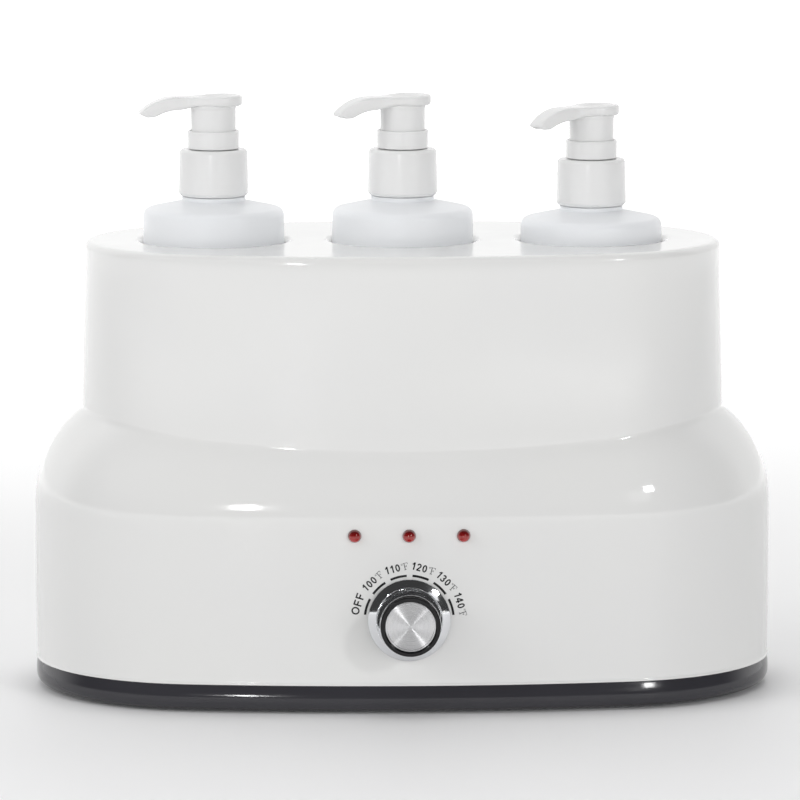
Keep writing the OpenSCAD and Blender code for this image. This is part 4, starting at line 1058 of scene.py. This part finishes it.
letters = {   # advance, then the strokes
    "0": (0.76, [arc(0.36, 0.5, 0.21, 0.41, 0, 360, 28)]),
    "1": (0.70, [[(0.14, 0.70), (0.28, 0.79), (0.39, 0.97)], [(0.41, 0.0), (0.41, 1.0)]]),
    "2": (0.76, [arc(0.35, 0.69, 0.21, 0.225, 172, -28) + [(0.12, 0.10)], [(0.08, 0.09), (0.61, 0.09)]]),
    "3": (0.76, [arc(0.34, 0.71, 0.19, 0.20, 165, -90) + arc(0.34, 0.30, 0.22, 0.21, 90, -165)]),
    "4": (0.78, [[(0.48, 0.0), (0.48, 1.0)], [(0.45, 0.95), (0.10, 0.34)], [(0.05, 0.30), (0.66, 0.30)]]),
    "O": (1.06, [arc(0.50, 0.5, 0.385, 0.41, 0, 360, 32)]),
    "F": (0.86, [[(0.18, 0.0), (0.18, 1.0)], [(0.18, 0.91), (0.74, 0.91)], [(0.18, 0.50), (0.66, 0.50)]]),
}


def ribbonFaces(base, count):   # quads along pairs of points
    return [(base + 2*k, base + 2*k + 1, base + 2*k + 3, base + 2*k + 2) for k in range(count)]


def wordMesh(text, size):   # each stroke becomes a ribbon of constant width
    points, faces = [], []
    start = 0.0
    for letter in text:
        advance, strokes = letters[letter]
        for stroke in strokes:
            line = [Vector(p) for p in stroke]
            closed = (line[0] - line[-1]).length < 1e-6
            base = len(points)
            for k, spot in enumerate(line):
                before = line[k - 1] if k else (line[-2] if closed else spot)
                after = line[k + 1] if k < len(line) - 1 else (line[1] if closed else spot)
                along = (after - before).normalized()
                across = Vector((-along.y, along.x))*dialSet["stroke"]/2
                points += [(spot + side*across + Vector((start, 0)))*size for side in (1, -1)]
            faces += ribbonFaces(base, len(line) - 1)
        start += advance
    return points, faces


def onDial(x, z, proud):
    return Vector((x*mm, (frontFace(x) - proud)*mm, z*mm))


def flatPrint(name, points, faces, finish):   # ink film: a front and a back sheet joined at their edges
    bm = bmesh.new()
    for x, z in points:
        bm.verts.new((x, z, 0))
    bm.verts.ensure_lookup_table()
    for face in faces:
        bm.faces.new([bm.verts[k] for k in face])
    bmesh.ops.remove_doubles(bm, verts=bm.verts, dist=1e-4)
    made = bmesh.ops.extrude_face_region(bm, geom=bm.faces[:])
    for item in made["geom"]:
        if isinstance(item, bmesh.types.BMVert):
            item.co.z = dialSet["proud"]
    bm.verts.index_update()
    verts = [onDial(v.co.x, v.co.y, v.co.z) for v in bm.verts]
    shapes = [[v.index for v in f.verts] for f in bm.faces]
    bm.free()
    addPiece(name, verts, shapes, "warmer", None, finish=finish)


def unitMesh(size):   # degree ring and a thin F with serifs, drawn from bars
    bars = [(0.40, 0.0, 0.51, 1.0), (0.27, 0.0, 0.64, 0.06), (0.27, 0.94, 0.95, 1.0), (0.89, 0.74, 0.95, 1.0),
            (0.45, 0.48, 0.75, 0.54), (0.70, 0.38, 0.75, 0.64)]
    points, faces = [], []
    for x0, z0, x1, z1 in bars:
        base = len(points)
        points += [Vector((x, z))*size for x, z in ((x0, z0), (x1, z0), (x1, z1), (x0, z1))]
        faces.append((base, base + 1, base + 2, base + 3))
    base, count = len(points), 20
    for j in range(count):
        a = 2*pi*j/count
        points += [Vector((0.12 + r*cos(a), 0.86 + r*sin(a)))*size for r in (0.07, 0.115)]
    for j in range(count):
        n = (j + 1) % count
        faces.append((base + 2*j, base + 2*j + 1, base + 2*n + 1, base + 2*n))
    return points, faces


def makeDial():
    s = dialSet
    inkPoints, inkFaces, unitPoints, unitFaces = [], [], [], []
    for text, (angle, size, unit) in s["marks"].items():
        words, wordFaces = wordMesh(text, size)
        wide = sum(letters[letter][0] for letter in text)*size
        units, unitShape = unitMesh(s["unitSize"]) if unit else ([], [])
        unitWide = max(p.x for p in units) + s["unitGap"] if units else 0.0
        a = radians(angle)
        along, up = Vector((sin(a), -cos(a))), Vector((cos(a), sin(a)))
        start = Vector((s["x"], s["z"])) + up*s["textR"] - along*(wide + unitWide)/2
        for points, shape, into, intoFaces, shift in ((words, wordFaces, inkPoints, inkFaces, 0.0),
                                                      (units, unitShape, unitPoints, unitFaces, wide + s["unitGap"])):
            base = len(into)
            into.extend(tuple(start + along*(p.x + shift) + up*p.y) for p in points)
            intoFaces.extend([base + k for k in face] for face in shape)
        inkFaces += ribbonFaces(len(inkPoints), s["barSteps"])
        for j in range(s["barSteps"] + 1):
            b = a + radians(s["barHalf"]*(2*j/s["barSteps"] - 1))
            for r in (s["barR"] - s["barT"]/2, s["barR"] + s["barT"]/2):
                inkPoints.append((s["x"] + r*cos(b), s["z"] + r*sin(b)))
    flatPrint("dialPrint", inkPoints, inkFaces, finishes["ink"])
    flatPrint("dialUnits", unitPoints, unitFaces, finishes["inkGrey"])


makeDial()
print("dial ready")
